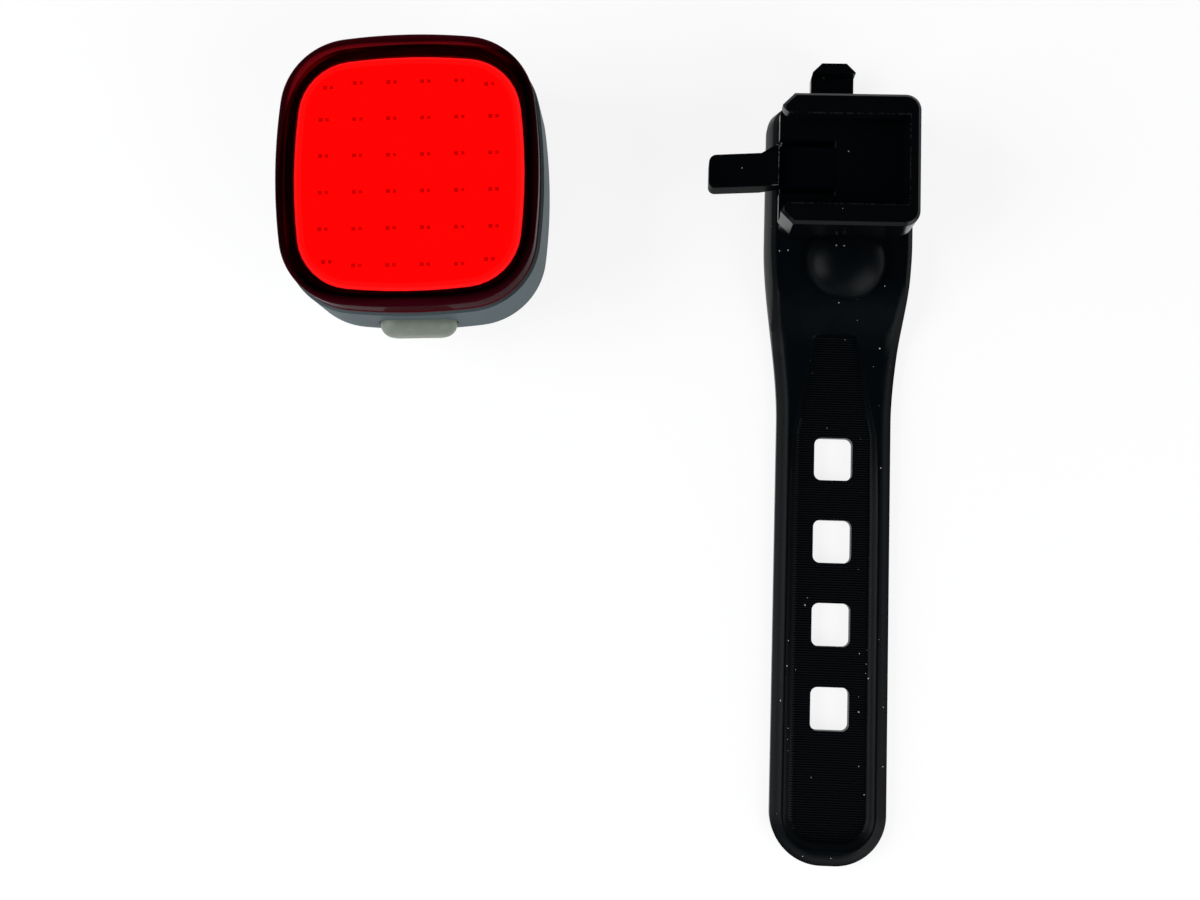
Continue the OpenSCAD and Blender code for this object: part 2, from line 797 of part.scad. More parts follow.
module battery_pad() {
    on_light() color("black") block([cell_w - 2 * pad_margin, cell_len - 2 * pad_margin, pad_t], inside_z);
}

// Two leads that leave the end of the cell and turn up to the control board
module battery_leads() {
    z = inside_z + pad_t + cell_t / 2;
    on_light() color("red") for (side = [-1, 1]) translate([side * lead_gap / 2 - lead_x, cell_len / 2, z]) {
        rotate([-90, 0, 0]) cylinder(r = lead_r, h = lead_out);
        translate([0, lead_out, 0]) {
            sphere(r = lead_r);
            cylinder(r = lead_r, h = control_z - z);
        }
    }
}

// Strap mount

// Plate, stem and hook shelf that the strap is moulded round; grow makes the space that they leave in it
module anchor(grow) {
    shelf_top = anchor_cover + hook_t;
    shelf_y = anchor_len / 2 - cut;
    block([anchor_w + 2 * grow, anchor_len + 2 * grow, anchor_t + 2 * grow], anchor_cover - grow);
    block([stem_w + 2 * grow, stem_len + 2 * grow, head_t - anchor_cover], anchor_cover);
    translate([0, 0, anchor_cover - grow]) linear_extrude(hook_t + 2 * grow) hook_outline(shelf_y, grow);
}

module hook_outline(from_y, grow) {
    x = hook_w / 2 + grow;
    translate([hook_x, 0]) polygon([
        [-x, from_y], [x, from_y], [x, hook_reach - hook_corner],
        [x - hook_corner, hook_reach], [hook_corner - x, hook_reach], [-x, hook_reach - hook_corner]
    ]);
}

module hook() {
    translate([0, 0, anchor_cover + hook_t - cut]) linear_extrude(hook_lip_h + cut)
        hook_outline(hook_reach - hook_lip_t, 0);
}

// Space between and under the lips, with round lead-ins at the mouth
module channel() {
    run = end_x - mouth_x;
    translate([mouth_x - cut, -channel_w / 2, floor_top]) cube([run + cut, channel_w, channel_h]);
    translate([mouth_x - cut, -lip_gap / 2, floor_top]) cube([run + cut, lip_gap, channel_h + lip_t + cut]);
    for (side = [-1, 1]) translate([mouth_x, side * lip_gap / 2, lip_z - cut])
        linear_extrude(lip_t + 2 * cut) difference() {
            square(2 * lip_lead_r, center = true);
            translate([lip_lead_r, side * lip_lead_r]) circle(lip_lead_r);
            translate([0, -lip_lead_r - cut]) translate([lip_lead_r, 0]) square(2 * (lip_lead_r + cut));
            translate([-lip_lead_r, side > 0 ? lip_lead_r : -lip_lead_r - cut]) square([2 * lip_lead_r, cut]);
        }
}

module base_block(grow) {
    slab(receiver_outline(block_inset - grow), block_z, block_h);
}

module receiver() {
    bay_z = floor_top - floor_t - bay_depth;
    color("black") {
        difference() {
            union() {
                base_block(0);
                skin([
                    at_height(receiver_outline(0), channel_z),
                    at_height(receiver_outline(0), receiver_top - top_bevel),
                    at_height(receiver_outline(top_bevel), receiver_top)
                ]);
            }
            channel();
            translate([mouth_x - cut, -slot_w / 2, bay_z]) cube([tongue_len + cut, slot_w, floor_top - bay_z + cut]);
            translate([root_x, slot_w / 2, root_z]) rotate([90, 0, 0])
                cylinder(r = tongue_t / 2 + root_play, h = slot_w);
        }
        anchor(0);
        hook();
    }
}

// Plan of the tongue from root to tip, narrowing along the ramp to the rounded tab
module tongue_plan(tip_x, ramp_x) {
    back_x = root_x + tongue_w;
    translate([(tip_x + back_x) / 2, tab_y]) rounded_rect(back_x - tip_x, tab_w, tab_corner_r);
    polygon([
        [ramp_x, tab_y - tab_w / 2], [ramp_x + ramp_len, -tongue_w / 2], [back_x, -tongue_w / 2],
        [back_x, tongue_w / 2], [ramp_x + ramp_len, tongue_w / 2], [ramp_x, tab_y + tab_w / 2]
    ]);
}

// Side view of the tongue extruded across it, trimmed to its plan
module release_tongue() {
    latch_x = mouth_x - slip;
    ramp_x = latch_x - latch_flat - ramp_len;
    tip_x = ramp_x - tab_len;
    under = floor_top - tongue_t;
    crest = floor_top + latch_h;
    color("black") intersection() {
        translate([0, tongue_w / 2, 0]) rotate([90, 0, 0]) linear_extrude(tongue_w) {
            polygon([
                [root_x, floor_top], [latch_x, floor_top], [latch_x, crest], [latch_x - latch_flat, crest],
                [ramp_x, floor_top], [tip_x, floor_top - tab_drop], [tip_x, floor_top - tab_drop - tab_t],
                [ramp_x, floor_top - tab_t], [mouth_x, under], [root_x, under]
            ]);
            translate([root_x, root_z]) circle(tongue_t / 2);
        }
        translate([0, 0, under - tab_drop - tab_t]) linear_extrude(crest - under + tab_drop + tab_t + cut)
            tongue_plan(tip_x, ramp_x);
    }
}

// Smooth step from 0 at y = low to 1 at y = high
function ease(y, low, high) = let (t = min(1, max(0, (y - low) / (high - low)))) t * t * (3 - 2 * t);
function mix(a, b, t) = a + (b - a) * t;

function strap_half_w(y) = mix(tail_half_w, head_half_w, ease(y, -taper_end, -taper_start));
function strap_t(y) = mix(tail_t, head_t, ease(y, -thin_end, -thin_start));
function edge_w(y) = mix(tail_edge_w, head_edge_w, ease(y, -thin_end, -thin_start));
function edge_h(y) = mix(tail_edge_h, head_edge_h, ease(y, -thin_end, -thin_start));

// Right-hand side of the strap from tail to head, drawn in by a share of the edge slope's width
taper_steps = 16;
function strap_side(share) = concat(
    [for (i = [0 : corner_steps]) let (t = 90 * i / corner_steps - 90, r = tail_corner_r - share * tail_edge_w)
        [tail_half_w - tail_corner_r + r * cos(t), tail_y + tail_corner_r + r * sin(t)]],
    [for (i = [0 : taper_steps]) let (y = mix(-taper_end, -taper_start, i / taper_steps))
        [strap_half_w(y) - share * edge_w(y), y]],
    [for (i = [0 : corner_steps]) let (t = 90 * i / corner_steps, r = head_corner_r - share * head_edge_w)
        [head_half_w - head_corner_r + r * cos(t), head_reach - head_corner_r + r * sin(t)]]
);
function both_sides(side) = concat(side, [for (i = [len(side) - 1 : -1 : 0]) [-side[i].x, each [side[i].y, side[i].z]]]);

// Body of the strap: flat back, upright sides, sloped top edges, and a top that follows the thickness
module strap_body() {
    outer = strap_side(0);
    inner = strap_side(1);
    rings = [
        both_sides([for (p = outer) [p.x, p.y, 0]]),
        both_sides([for (p = outer) [p.x, p.y, strap_t(p.y) - edge_h(p.y)]]),
        both_sides([for (p = inner) [p.x, p.y, strap_t(p.y)]])
    ];
    n = len(rings[0]);
    half = n / 2;
    polyhedron(
        points = [for (ring = rings) each ring],
        faces = concat(
            [[for (i = [0 : n - 1]) i]],
            [for (k = [0, 1], i = [0 : n - 1]) let (j = (i + 1) % n) each [
                [k * n + i, k * n + n + i, k * n + n + j],
                [k * n + i, k * n + n + j, k * n + j]
            ]],
            [for (i = [0 : half - 2]) let (r = 2 * n + i, l = 3 * n - 1 - i) [r, l, l - 1, r + 1]]
        )
    );
}

// Right-hand side of the recess from its tail end to its start, spread by a share of its wall slope
function recess_side(share) =
    let (spread = share * recess_slope, start_spread = spread / 3)
    concat(
        [for (i = [0 : corner_steps]) let (t = 90 * i / corner_steps - 90, r = recess_corner_r + spread)
            [recess_half_w - recess_corner_r + r * cos(t), recess_end_y + recess_corner_r + r * sin(t)]],
        [[recess_half_w + spread, -recess_full], [recess_start_half_w + start_spread, start_spread - recess_start]]
    );

module recess() {
    skin([
        both_sides([for (p = recess_side(0)) [p.x, p.y, recess_floor]]),
        both_sides([for (p = recess_side(2)) [p.x, p.y, recess_floor + 2 * recess_depth]])
    ]);
}

module adjusting_holes() {
    for (i = [0 : hole_count - 1]) translate([0, -hole_start - i * hole_pitch, -cut])
        linear_extrude(tail_t + 2 * cut) rounded_rect(hole_w, hole_len, hole_corner_r);
}

module dome() {
    translate([dome_x, dome_y, 0]) rotate_extrude() polygon(concat(
        [[0, head_t - cut], [dome_r, head_t - cut]],
        [for (i = [0 : corner_steps]) let (t = 90 * i / corner_steps)
            [dome_r * cos(t), head_t + dome_h * sin(t)]]
    ));
}

module strap() {
    color("black") difference() {
        union() {
            strap_body();
            dome();
        }
        base_block(mould_gap);
        anchor(mould_gap);
        recess();
        adjusting_holes();
    }
}

lens();
lens_gasket();
bezel_frame();
led_board();
cob_dam();
cob_fill();
led_chips();
housing();
power_button();
control_board();
driver_chip();
charge_chip();
status_led();
tact_switch();
switch_plunger();
usb_shell();
usb_tongue();
battery_cell();
battery_pad();
battery_leads();
link_pins();
board_screws();
usb_cover();
receiver();
release_tongue();
strap();
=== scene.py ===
# %% [markdown]
# # A bicycle rear light and its rubber strap mount
# This lesson dresses a finished construction model. The model gives every place and size, and each
# piece that shows is modelled again here, by hand-like steps, with soft edges and a real finish.
# All lengths are metres in the model's own frame: +X right, +Y up the strap, +Z up from the table.

# %% Load the construction model
import math

import bmesh
import bpy
from mathutils import Matrix, Vector


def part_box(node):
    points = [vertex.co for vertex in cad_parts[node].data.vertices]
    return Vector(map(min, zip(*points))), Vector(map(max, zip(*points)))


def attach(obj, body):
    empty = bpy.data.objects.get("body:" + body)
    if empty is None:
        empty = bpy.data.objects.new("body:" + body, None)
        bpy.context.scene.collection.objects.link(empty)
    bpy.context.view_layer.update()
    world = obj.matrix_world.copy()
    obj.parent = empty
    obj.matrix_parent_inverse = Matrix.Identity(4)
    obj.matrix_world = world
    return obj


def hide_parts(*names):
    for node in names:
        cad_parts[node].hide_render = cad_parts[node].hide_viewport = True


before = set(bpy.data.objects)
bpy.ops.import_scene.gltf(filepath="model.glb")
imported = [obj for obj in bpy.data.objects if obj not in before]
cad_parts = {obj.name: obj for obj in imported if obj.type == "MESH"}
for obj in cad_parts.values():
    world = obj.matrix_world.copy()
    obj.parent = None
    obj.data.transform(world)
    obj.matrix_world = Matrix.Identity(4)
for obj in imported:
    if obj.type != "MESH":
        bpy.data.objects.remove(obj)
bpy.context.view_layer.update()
mm = 0.001

# %% [markdown]
# ## Camera
# The photograph looks almost straight down from about 24 cm above the table. The camera stands over
# a point between the two items, so the light shows its lower and right walls and the receiver leans
# away to the right. It could be aimed by a tracking constraint, but a fixed place with a small tilt
# and a small roll is simpler, and brings both items to their places in the picture.

# %% Camera
camera_place = (-30.02 * mm, -69.40 * mm, 235.32 * mm)
camera_turn = [math.radians(degrees) for degrees in (5.392, 2.471, 1.788)]
bpy.ops.object.select_all(action="DESELECT")
bpy.ops.object.camera_add(location=camera_place, rotation=camera_turn)
camera = bpy.context.object
camera.name = "overhead_camera"
camera.data.sensor_width = 36
camera.data.lens = 40
camera.data.clip_start = 10 * mm
bpy.context.scene.camera = camera
bpy.context.scene.view_settings.view_transform = "Standard"
print("camera at", [round(v, 4) for v in camera.location])

# %% [markdown]
# ## Shader sums
# A finish is a small sum over noises and places. Its nodes could be added and linked one by one, as
# in the editor, but a formula is easier to read than a list of links. So a Wire stands for one output
# of a node, and Python's operators on it add Math nodes. Every other node comes from one method,
# which sets the node's own settings first and its inputs after that.

# %% Wires
class Wire:
    """One output socket. Sums, products and comparisons with it become Math nodes."""

    def __init__(self, nodes, socket):
        self.nodes = nodes
        self.socket = socket

    def math(self, operation, first, second):
        return self.nodes.add("ShaderNodeMath", {"operation": operation}, {0: first, 1: second})

    def __add__(self, other):
        return self.math("ADD", self, other)

    def __radd__(self, other):
        return self.math("ADD", other, self)

    def __sub__(self, other):
        return self.math("SUBTRACT", self, other)

    def __rsub__(self, other):
        return self.math("SUBTRACT", other, self)

    def __mul__(self, other):
        return self.math("MULTIPLY", self, other)

    def __rmul__(self, other):
        return self.math("MULTIPLY", other, self)

    def __gt__(self, other):
        return self.math("GREATER_THAN", self, other)

    def __lt__(self, other):
        return self.math("LESS_THAN", self, other)

    def larger(self, other):
        return self.math("MAXIMUM", self, other)

    def smaller(self, other):
        return self.math("MINIMUM", self, other)


print("ready: sums on wires")

# %% Node trees
class Nodes:
    """A node tree that is written as expressions."""

    def __init__(self, tree):
        self.tree = tree

    def add(self, kind, settings=None, values=None, output=0):
        node = self.tree.nodes.new(kind)
        for key, value in (settings or {}).items():
            setattr(node, key, value)
        for key, value in (values or {}).items():
            self.put(node.inputs[key], value)
        return Wire(self, node.outputs[output])

    def put(self, socket, value):
        if isinstance(value, Wire):
            self.tree.links.new(value.socket, socket)
        else:
            socket.default_value = value

    def blend(self, factor, first, second):
        """A colour that goes from first to second."""
        return self.add("ShaderNodeMix", {"data_type": "RGBA"}, {0: factor, 6: first, 7: second}, 2)

    def remap(self, value, low, high, new_low=0.0, new_high=1.0):
        """A value taken from one range to another, and held inside it."""
        values = {0: value, 1: low, 2: high, 3: new_low, 4: new_high}
        return self.add("ShaderNodeMapRange", {"interpolation_type": "SMOOTHSTEP"}, values)

    def axes(self, vector):
        """The three coordinates of a vector."""
        node = self.add("ShaderNodeSeparateXYZ", None, {0: vector}).socket.node
        return [Wire(self, socket) for socket in node.outputs]


print("ready: node trees")

# %% Finishes
class Finish(Nodes):
    """A material: constants go straight onto the shader's sockets, and patterns are linked to them."""

    def __init__(self, name, **constants):
        self.material = bpy.data.materials.new(name)
        self.material.use_nodes = True
        super().__init__(self.material.node_tree)
        self.shader = self.tree.nodes["Principled BSDF"]
        self.place = self.add("ShaderNodeTexCoord", output="Object")
        self.feed(**constants)

    def feed(self, **inputs):
        for key, value in inputs.items():
            self.put(self.shader.inputs[key.replace("_", " ")], value)

    def noise(self, size, detail=2.0, rough=0.5):
        """Soft noise whose blobs are about this many millimetres across."""
        values = {"Vector": self.place, "Scale": 1 / (size * mm), "Detail": detail, "Roughness": rough}
        return self.add("ShaderNodeTexNoise", None, values)

    def uneven(self, least, spread, size):
        """A value that wanders from least upwards, in blobs of this many millimetres."""
        return self.noise(size) * spread + least

    def specks(self, size, share, least=0.02, spread=0.07):
        """Small round specks, one in each cell of this size, kept in a share of the cells."""
        values = {"Vector": self.place, "Scale": 1 / (size * mm)}
        near = self.add("ShaderNodeTexVoronoi", None, values, "Distance")
        pick = self.add("ShaderNodeTexVoronoi", None, values, "Color")
        chance, width = [self.add("ShaderNodeSeparateColor", None, {0: pick}, part) for part in (0, 1)]
        return (near < width * spread + least) * (chance < share)

    def bump(self, height, distance):
        """Fine relief: height runs from 0 to 1 over this many millimetres."""
        values = {"Height": height, "Distance": distance * mm, "Strength": 1.0}
        self.feed(Normal=self.add("ShaderNodeBump", None, values))


print("ready: finishes")

# %% [markdown]
# ## Studio
# The items lie on a white table among three soft boxes, and what is above them is dark. That is why
# black surfaces that face up look black in the photograph, while their sloped edges look grey: the
# slopes mirror the soft boxes and the table. The table could be made white by more light, but that
# would wash out the items. So a white glow is mixed into what the camera and shiny surfaces see of
# it, and the rest of it keeps a faint shadow.

# %% White table
table_size, table_z = 40, -0.2 * mm
table_glow, table_mix = 1.06, 0.80
bpy.ops.object.select_all(action="DESELECT")
bpy.ops.mesh.primitive_plane_add(size=table_size, location=(0, 0, table_z))
table = bpy.context.object
table.name = "table"
table_paint = Finish("table_white", Base_Color=(0.82, 0.83, 0.84, 1), Roughness=0.6)
seen = table_paint.add("ShaderNodeLightPath", output="Is Camera Ray")
for ray in ("Is Glossy Ray", "Is Transmission Ray"):
    seen = seen + table_paint.add("ShaderNodeLightPath", output=ray)
paint = Wire(table_paint, table_paint.shader.outputs[0])
glow = table_paint.add("ShaderNodeEmission", None, {"Color": (1, 1, 1, 1), "Strength": table_glow})
show = table_paint.add("ShaderNodeMixShader", None, {0: (seen > 0.5) * table_mix, 1: paint, 2: glow})
table_paint.put(table_paint.tree.nodes["Material Output"].inputs["Surface"], show)
table.data.materials.append(table_paint.material)
print("table glow", table_glow, "with a share of", table_mix)

# %% Soft boxes
lamp_size, lamp_aim = 0.5, Vector((-0.04, -0.04, 0.01))
soft_boxes = {
    "left_soft_box": ((-0.62, -0.10, 0.42), 4.8),
    "right_soft_box": ((0.40, -0.37, 0.29), 3.0),
    "front_soft_box": ((-0.05, -0.75, 0.45), 0.7),
}
for name, (place, power) in soft_boxes.items():
    bpy.ops.object.select_all(action="DESELECT")
    bpy.ops.object.light_add(type="AREA", location=place)
    lamp = bpy.context.object
    lamp.name = name
    lamp.data.size = lamp_size
    lamp.data.energy = power
    lamp.rotation_euler = (lamp_aim - Vector(place)).to_track_quat("-Z", "Y").to_euler()
    print(name, power, "W")

# %% Surroundings
pale, pale_below = 0.75, 0.05
dark, dark_above = 0.01, 0.55
world = bpy.data.worlds.new("studio")
bpy.context.scene.world = world
world.use_nodes = True
around = Nodes(world.node_tree)
direction = around.add("ShaderNodeTexCoord", output="Generated")
wall = around.remap(around.axes(direction)[2], pale_below, dark_above, pale, dark)
shade = around.blend(wall, (0, 0, 0, 1), (1, 1, 1, 1))
around.put(world.node_tree.nodes["Background"].inputs["Color"], shade)
print("surroundings from", pale, "near the table to", dark, "overhead")

# %% [markdown]
# ## Modelling helpers
# Each new piece starts as a primitive and is shaped in edit mode. Its points could also be written
# out one by one, but operators keep to the steps that one would take by hand. They work on what is
# selected, so small helpers enter edit mode and select faces or edges by a test on their place.

# %% Adding and selecting
tiny = 1e-6


def add_piece(name, primitive, **settings):
    """Adds a primitive with nothing else selected, and names it."""
    bpy.ops.object.select_all(action="DESELECT")
    primitive(**settings)
    piece = bpy.context.object
    piece.name = name
    piece.data.name = name
    return piece


def select(piece, kind, test):
    """Enters edit mode with only the faces or edges that pass a test selected."""
    bpy.context.view_layer.objects.active = piece
    bpy.ops.object.mode_set(mode="EDIT")
    bpy.ops.mesh.select_mode(type="FACE" if kind == "faces" else "EDGE")
    bpy.ops.mesh.select_all(action="DESELECT")
    mesh = bmesh.from_edit_mesh(piece.data)
    mesh.normal_update()
    found = [part for part in getattr(mesh, kind) if test(part)]
    for part in found:
        part.select_set(True)
    bmesh.update_edit_mesh(piece.data)
    return len(found)


def select_all(piece):
    """Enters edit mode with everything selected."""
    select(piece, "faces", lambda face: True)
    bpy.ops.mesh.select_all(action="SELECT")


def at_height(z):
    """A test for faces or edges that lie flat at a height."""
    return lambda part: all(abs(v.co.z - z) < tiny for v in part.verts)


def leave_edit():
    bpy.ops.object.mode_set(mode="OBJECT")


print("points nearer than", tiny, "m count as one place")

# %% Plates
def extrude_up(distance):
    bpy.ops.mesh.extrude_region_move(TRANSFORM_OT_translate={"value": (0, 0, distance)})


def add_plate(name, points, z, thickness):
    """A flat plate of any outline: a filled circle whose points are moved to it, then extruded."""
    piece = add_piece(name, bpy.ops.mesh.primitive_circle_add, vertices=len(points), fill_type="NGON")
    for vertex, (x, y) in zip(piece.data.vertices, points):
        vertex.co = (x, y, z)
    select_all(piece)
    extrude_up(thickness)
    bpy.ops.mesh.select_all(action="SELECT")
    bpy.ops.mesh.normals_make_consistent(inside=False)
    leave_edit()
    return piece


print("ready: plates")

# %% Edges and shading
def bevel_edges(piece, test, width, segments):
    """Bevels the edges that pass a test, and says how many they are."""
    count = select(piece, "edges", test)
    bpy.ops.mesh.bevel(offset=width, segments=segments, affect="EDGES")
    leave_edit()
    return count


def apply_modifier(piece, kind, **settings):
    """Adds a modifier, sets it and applies it at once."""
    bpy.context.view_layer.objects.active = piece
    modifier = piece.modifiers.new(kind.lower(), kind)
    for key, value in settings.items():
        setattr(modifier, key, value)
    bpy.ops.object.modifier_apply(modifier=modifier.name)


def soften(piece, width, segments, angle):
    """Rounds every edge sharper than an angle a little, as moulded plastic has it."""
    apply_modifier(piece, "BEVEL", width=width, segments=segments, limit_method="ANGLE",
                   angle_limit=math.radians(angle))


def pick(piece):
    """Makes a piece the only selected and active one."""
    bpy.ops.object.select_all(action="DESELECT")
    piece.select_set(True)
    bpy.context.view_layer.objects.active = piece


def smooth(piece, angle=35):
    """Removes faces without area, then shades smooth with sharp edges sharp and large flats flat."""
    select_all(piece)
    bpy.ops.mesh.remove_doubles(threshold=tiny)
    bpy.ops.mesh.dissolve_degenerate(threshold=tiny)
    leave_edit()
    pick(piece)
    bpy.ops.object.shade_smooth_by_angle(angle=math.radians(angle))
    apply_modifier(piece, "WEIGHTED_NORMAL", keep_sharp=True)


print("ready: edges and shading")

# %% Placing and handing over
def settle(piece, matrix=None):
    """Puts a piece's place into its mesh, so that its object sits unturned at the origin."""
    if matrix is not None:
        piece.matrix_world = matrix
    pick(piece)
    bpy.ops.object.transform_apply(location=True, rotation=True, scale=True)


def hand_over(piece, body, nodes, finish):
    """Hangs a finished piece on the body it rides on, hides the nodes it stands for, and gives it its
    finish.
    """
    piece.data.materials.clear()
    piece.data.materials.append(finish.material)
    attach(piece, body)
    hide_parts(*nodes)
    print(piece.name, "faces:", len(piece.data.polygons), "rides on", body)


print("ready: placing and handing over")

# %% [markdown]
# ## The light's outline
# Seen from the front the light is a square whose sides bow outwards a little and run smoothly into
# round corners. A square with rounded corners would have straight sides, so the outline is drawn from
# four wide arcs and four corner arcs that touch. One function makes it at any inset, so lens, gasket
# and housing stay parallel. The light lies a little turned on the table, so its pieces are modelled
# straight, round their own middle, and then put in place.

# %% The light's outline
lens_low, lens_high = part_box("lens")
light_x, light_y = ((lens_low + lens_high) / 2).xy
light_turn = math.radians(2.3)
light_frame = Matrix.Translation((light_x, light_y, 0)) @ Matrix.Rotation(light_turn, 4, "Z")
lens_w, lens_len = 43.5 * mm, 45.7 * mm
corner_r, side_bow_r = 12.0 * mm, 95 * mm


def corner_centre(a, b, reach):
    """The point that lies as far from (-a, 0) as from (0, -b), at that reach from both."""
    m, k = a / b, (a * a - b * b) / (2 * b)
    p, q = a + m * k, 1 + m * m
    x = (math.sqrt(p * p - q * (a * a + k * k - reach ** 2)) - p) / q
    return x, m * x + k


def light_outline(inset, side_steps=8, corner_steps=20):
    a, b = side_bow_r - lens_w / 2, side_bow_r - lens_len / 2
    x, y = corner_centre(a, b, side_bow_r - corner_r)
    low, high = math.atan2(y, x + a), math.atan2(y + b, x)
    side_r, round_r = side_bow_r - inset, corner_r - inset
    quarter = []
    for centre_x, centre_y, r, start, stop, steps in (
        (-a, 0, side_r, 0, low, side_steps),
        (x, y, round_r, low, high, corner_steps),
        (0, -b, side_r, high, math.pi / 2, side_steps),
    ):
        for i in range(steps):
            t = start + (stop - start) * i / steps
            quarter.append((centre_x + r * math.cos(t), centre_y + r * math.sin(t)))
    top = (0.0, side_r - b)
    half = quarter + [top] + [(-x, y) for x, y in reversed(quarter[1:])]
    return half + [(-x, -y) for x, y in half]


print("outline points:", len(light_outline(0)))

# %% [markdown]
# ## Lens
# The lens is one clear red moulding: a thick flat front with a rounded edge, and a thinner skirt that
# comes down to the seam. A sheet with thickness would be as thick in front as at the sides. So the
# lens starts as a solid plate of the outline, its front edge is bevelled round, and its back is sunk
# in to leave the skirt.

# %% Lens
lens_wall, lens_front, lens_edge_r = 1.5 * mm, 1.8 * mm, 1.6 * mm
lens_depth = lens_high.z - lens_low.z


def hollow(piece, z, wall, depth):
    """Sinks the flat face at a height into the piece, and leaves a wall round it."""
    select(piece, "faces", at_height(z))
    bpy.ops.mesh.inset(thickness=wall, use_even_offset=True)
    extrude_up(depth)
    leave_edit()


lens_shell = add_plate("lens_shell", light_outline(0), lens_low.z, lens_depth)
bevel_edges(lens_shell, at_height(lens_high.z), lens_edge_r, segments=8)
hollow(lens_shell, lens_low.z, lens_wall, lens_depth - lens_front)
smooth(lens_shell)
settle(lens_shell, light_frame)
print("lens depth", round(lens_depth / mm, 2), "mm")

# %% [markdown]
# ## Clear red plastic
# The plastic is tinted all through. Over the panel it shows an even bright red. At the rim the eye
# looks through much more of it, so the rim is nearly black, with a dim red line where the edge
# gathers light. Absorption in a volume could give this, but a tint on the surface is surer to reach
# the exported model. So the tint follows the distance from the lens's own middle. The photograph
# shows hardly any mirror image in the lens, so its gloss is low.

# %% Places on the lens
clear_red = Finish("clear_red", IOR=1.025, Transmission_Weight=1.0, Emission_Strength=1.0)
on_lens = clear_red.add("ShaderNodeMapping", {"vector_type": "TEXTURE"}, {
    "Vector": clear_red.place, "Location": (light_x, light_y, lens_low.z), "Rotation": (0, 0, light_turn),
    "Scale": (lens_w / 2, lens_len / 2, mm)})
across, along, up = clear_red.axes(on_lens)
# Painted glow: the lens's emission is made stronger along its lower side.
glow_lower_side = clear_red.remap(along, -0.9, 0.9, 1.0, 0.45)
across, along = across * across, along * along
from_middle = across * across + along * along
rim_start, rim_end, edge_end = 0.66, 0.74, 0.94
print("dark rim starts at", round(rim_start ** 0.25, 2), "of the half width")

# %% Clear red plastic
panel_red, rim_red = (0.80, 0.010, 0.012, 1), (0.016, 0.0006, 0.0016, 1)
# Painted glow: these two colours feed the lens's emission along its edge and at the foot of its skirt,
# brighter at top and bottom than at the sides, though the lens is no lamp.
edge_glow_red, foot_glow_red = (0.028, 0.0009, 0.0040, 1), (0.085, 0.0020, 0.0045, 1)
rim = clear_red.remap(from_middle, rim_start, rim_end)
glow_top_and_bottom = clear_red.remap(along, 0.25, 0.8, 0.4, 1.0)
# Painted glow: where the edge's emission shows.
edge = clear_red.remap(from_middle, rim_end, edge_end) * glow_top_and_bottom * glow_lower_side
foot = clear_red.remap(up, 0.3, 0.6, 1.0, 0.0)
clear_red.feed(
    Base_Color=clear_red.blend(rim, panel_red, rim_red),
    Emission_Color=clear_red.blend(edge, (0, 0, 0, 1), clear_red.blend(foot, edge_glow_red, foot_glow_red)),
    Roughness=clear_red.uneven(least=0.05, spread=0.05, size=9),
)
hand_over(lens_shell, "light", ["lens"], clear_red)

# %% [markdown]
# ## Seam gasket
# Between lens and housing runs a thin black rubber ring that keeps water out. A tube along a curve
# would be too round for it, so it is a flat plate of the outline with its middle cut out, and its
# edges are rounded over a little. Its finish is a dull black whose gloss is uneven.

# %% Cutting and joining
def combine(piece, others, operation):
    """Cuts the other pieces out of this one, or joins them to it, and removes them."""
    for other in others:
        apply_modifier(piece, "BOOLEAN", operation=operation, solver="EXACT", object=other)
        bpy.data.objects.remove(other)


print("ready: cutting and joining")

# %% Seam gasket
gasket_low, gasket_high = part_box("lens_gasket")
gasket_t = gasket_high.z - gasket_low.z
gasket_out, gasket_in, gasket_edge_r = 0.2 * mm, 1.0 * mm, 0.15 * mm
past = 5 * mm
gasket = add_plate("gasket_ring", light_outline(gasket_out), gasket_low.z, gasket_t)
core = add_plate("core", light_outline(gasket_in), gasket_low.z - past, gasket_t + 2 * past)
combine(gasket, [core], "DIFFERENCE")
soften(gasket, gasket_edge_r, segments=2, angle=50)
smooth(gasket)
settle(gasket, light_frame)
gasket_rubber = Finish("gasket_rubber", Base_Color=(0.006, 0.006, 0.007, 1))
gasket_rubber.feed(Roughness=gasket_rubber.uneven(least=0.45, spread=0.2, size=2))
hand_over(gasket, "light", ["lens_gasket"], gasket_rubber)

# %% [markdown]
# ## Housing
# The housing is a silver-grey cup. Its back edge is well rounded, its lower wall has an opening for
# the button, its upper wall has the charging port with a shallow recess for the cover, and the
# T-shaped foot on its back slides into the receiver. It could be drawn as one mesh of quads, but the
# openings would bend the smooth walls. So the cup is made first, the openings are cut with simple
# shapes, as a toolmaker would, and the screw posts and the foot are joined on.

# %% Housing cup
housing_wall, housing_back, housing_edge_r, flare = 2.0 * mm, 1.6 * mm, 1.8 * mm, 0.4 * mm
foot_t, neck_h = 2.4 * mm, 2.8 * mm
housing_z = foot_t + neck_h
inside_z = housing_z + housing_back
rim_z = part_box("housing")[1].z
wall_y = lens_len / 2 + flare
inner_y = wall_y - housing_wall
housing_cup = add_plate("housing_cup", light_outline(-flare), housing_z, rim_z - housing_z)
bevel_edges(housing_cup, at_height(housing_z), housing_edge_r, segments=10)
hollow(housing_cup, rim_z, housing_wall, inside_z - rim_z)
print("housing depth", round((rim_z - housing_z) / mm, 2), "mm")

# %% Pills on the walls
def pill_points(width, height, steps=14):
    """The outline of a pill: two half circles with straight sides between them."""
    r, reach = height / 2, (width - height) / 2
    turns = [math.pi * i / steps for i in range(steps + 1)]
    right = [(reach + r * math.sin(t), -r * math.cos(t)) for t in turns]
    return right + [(-x, -y) for x, y in right]


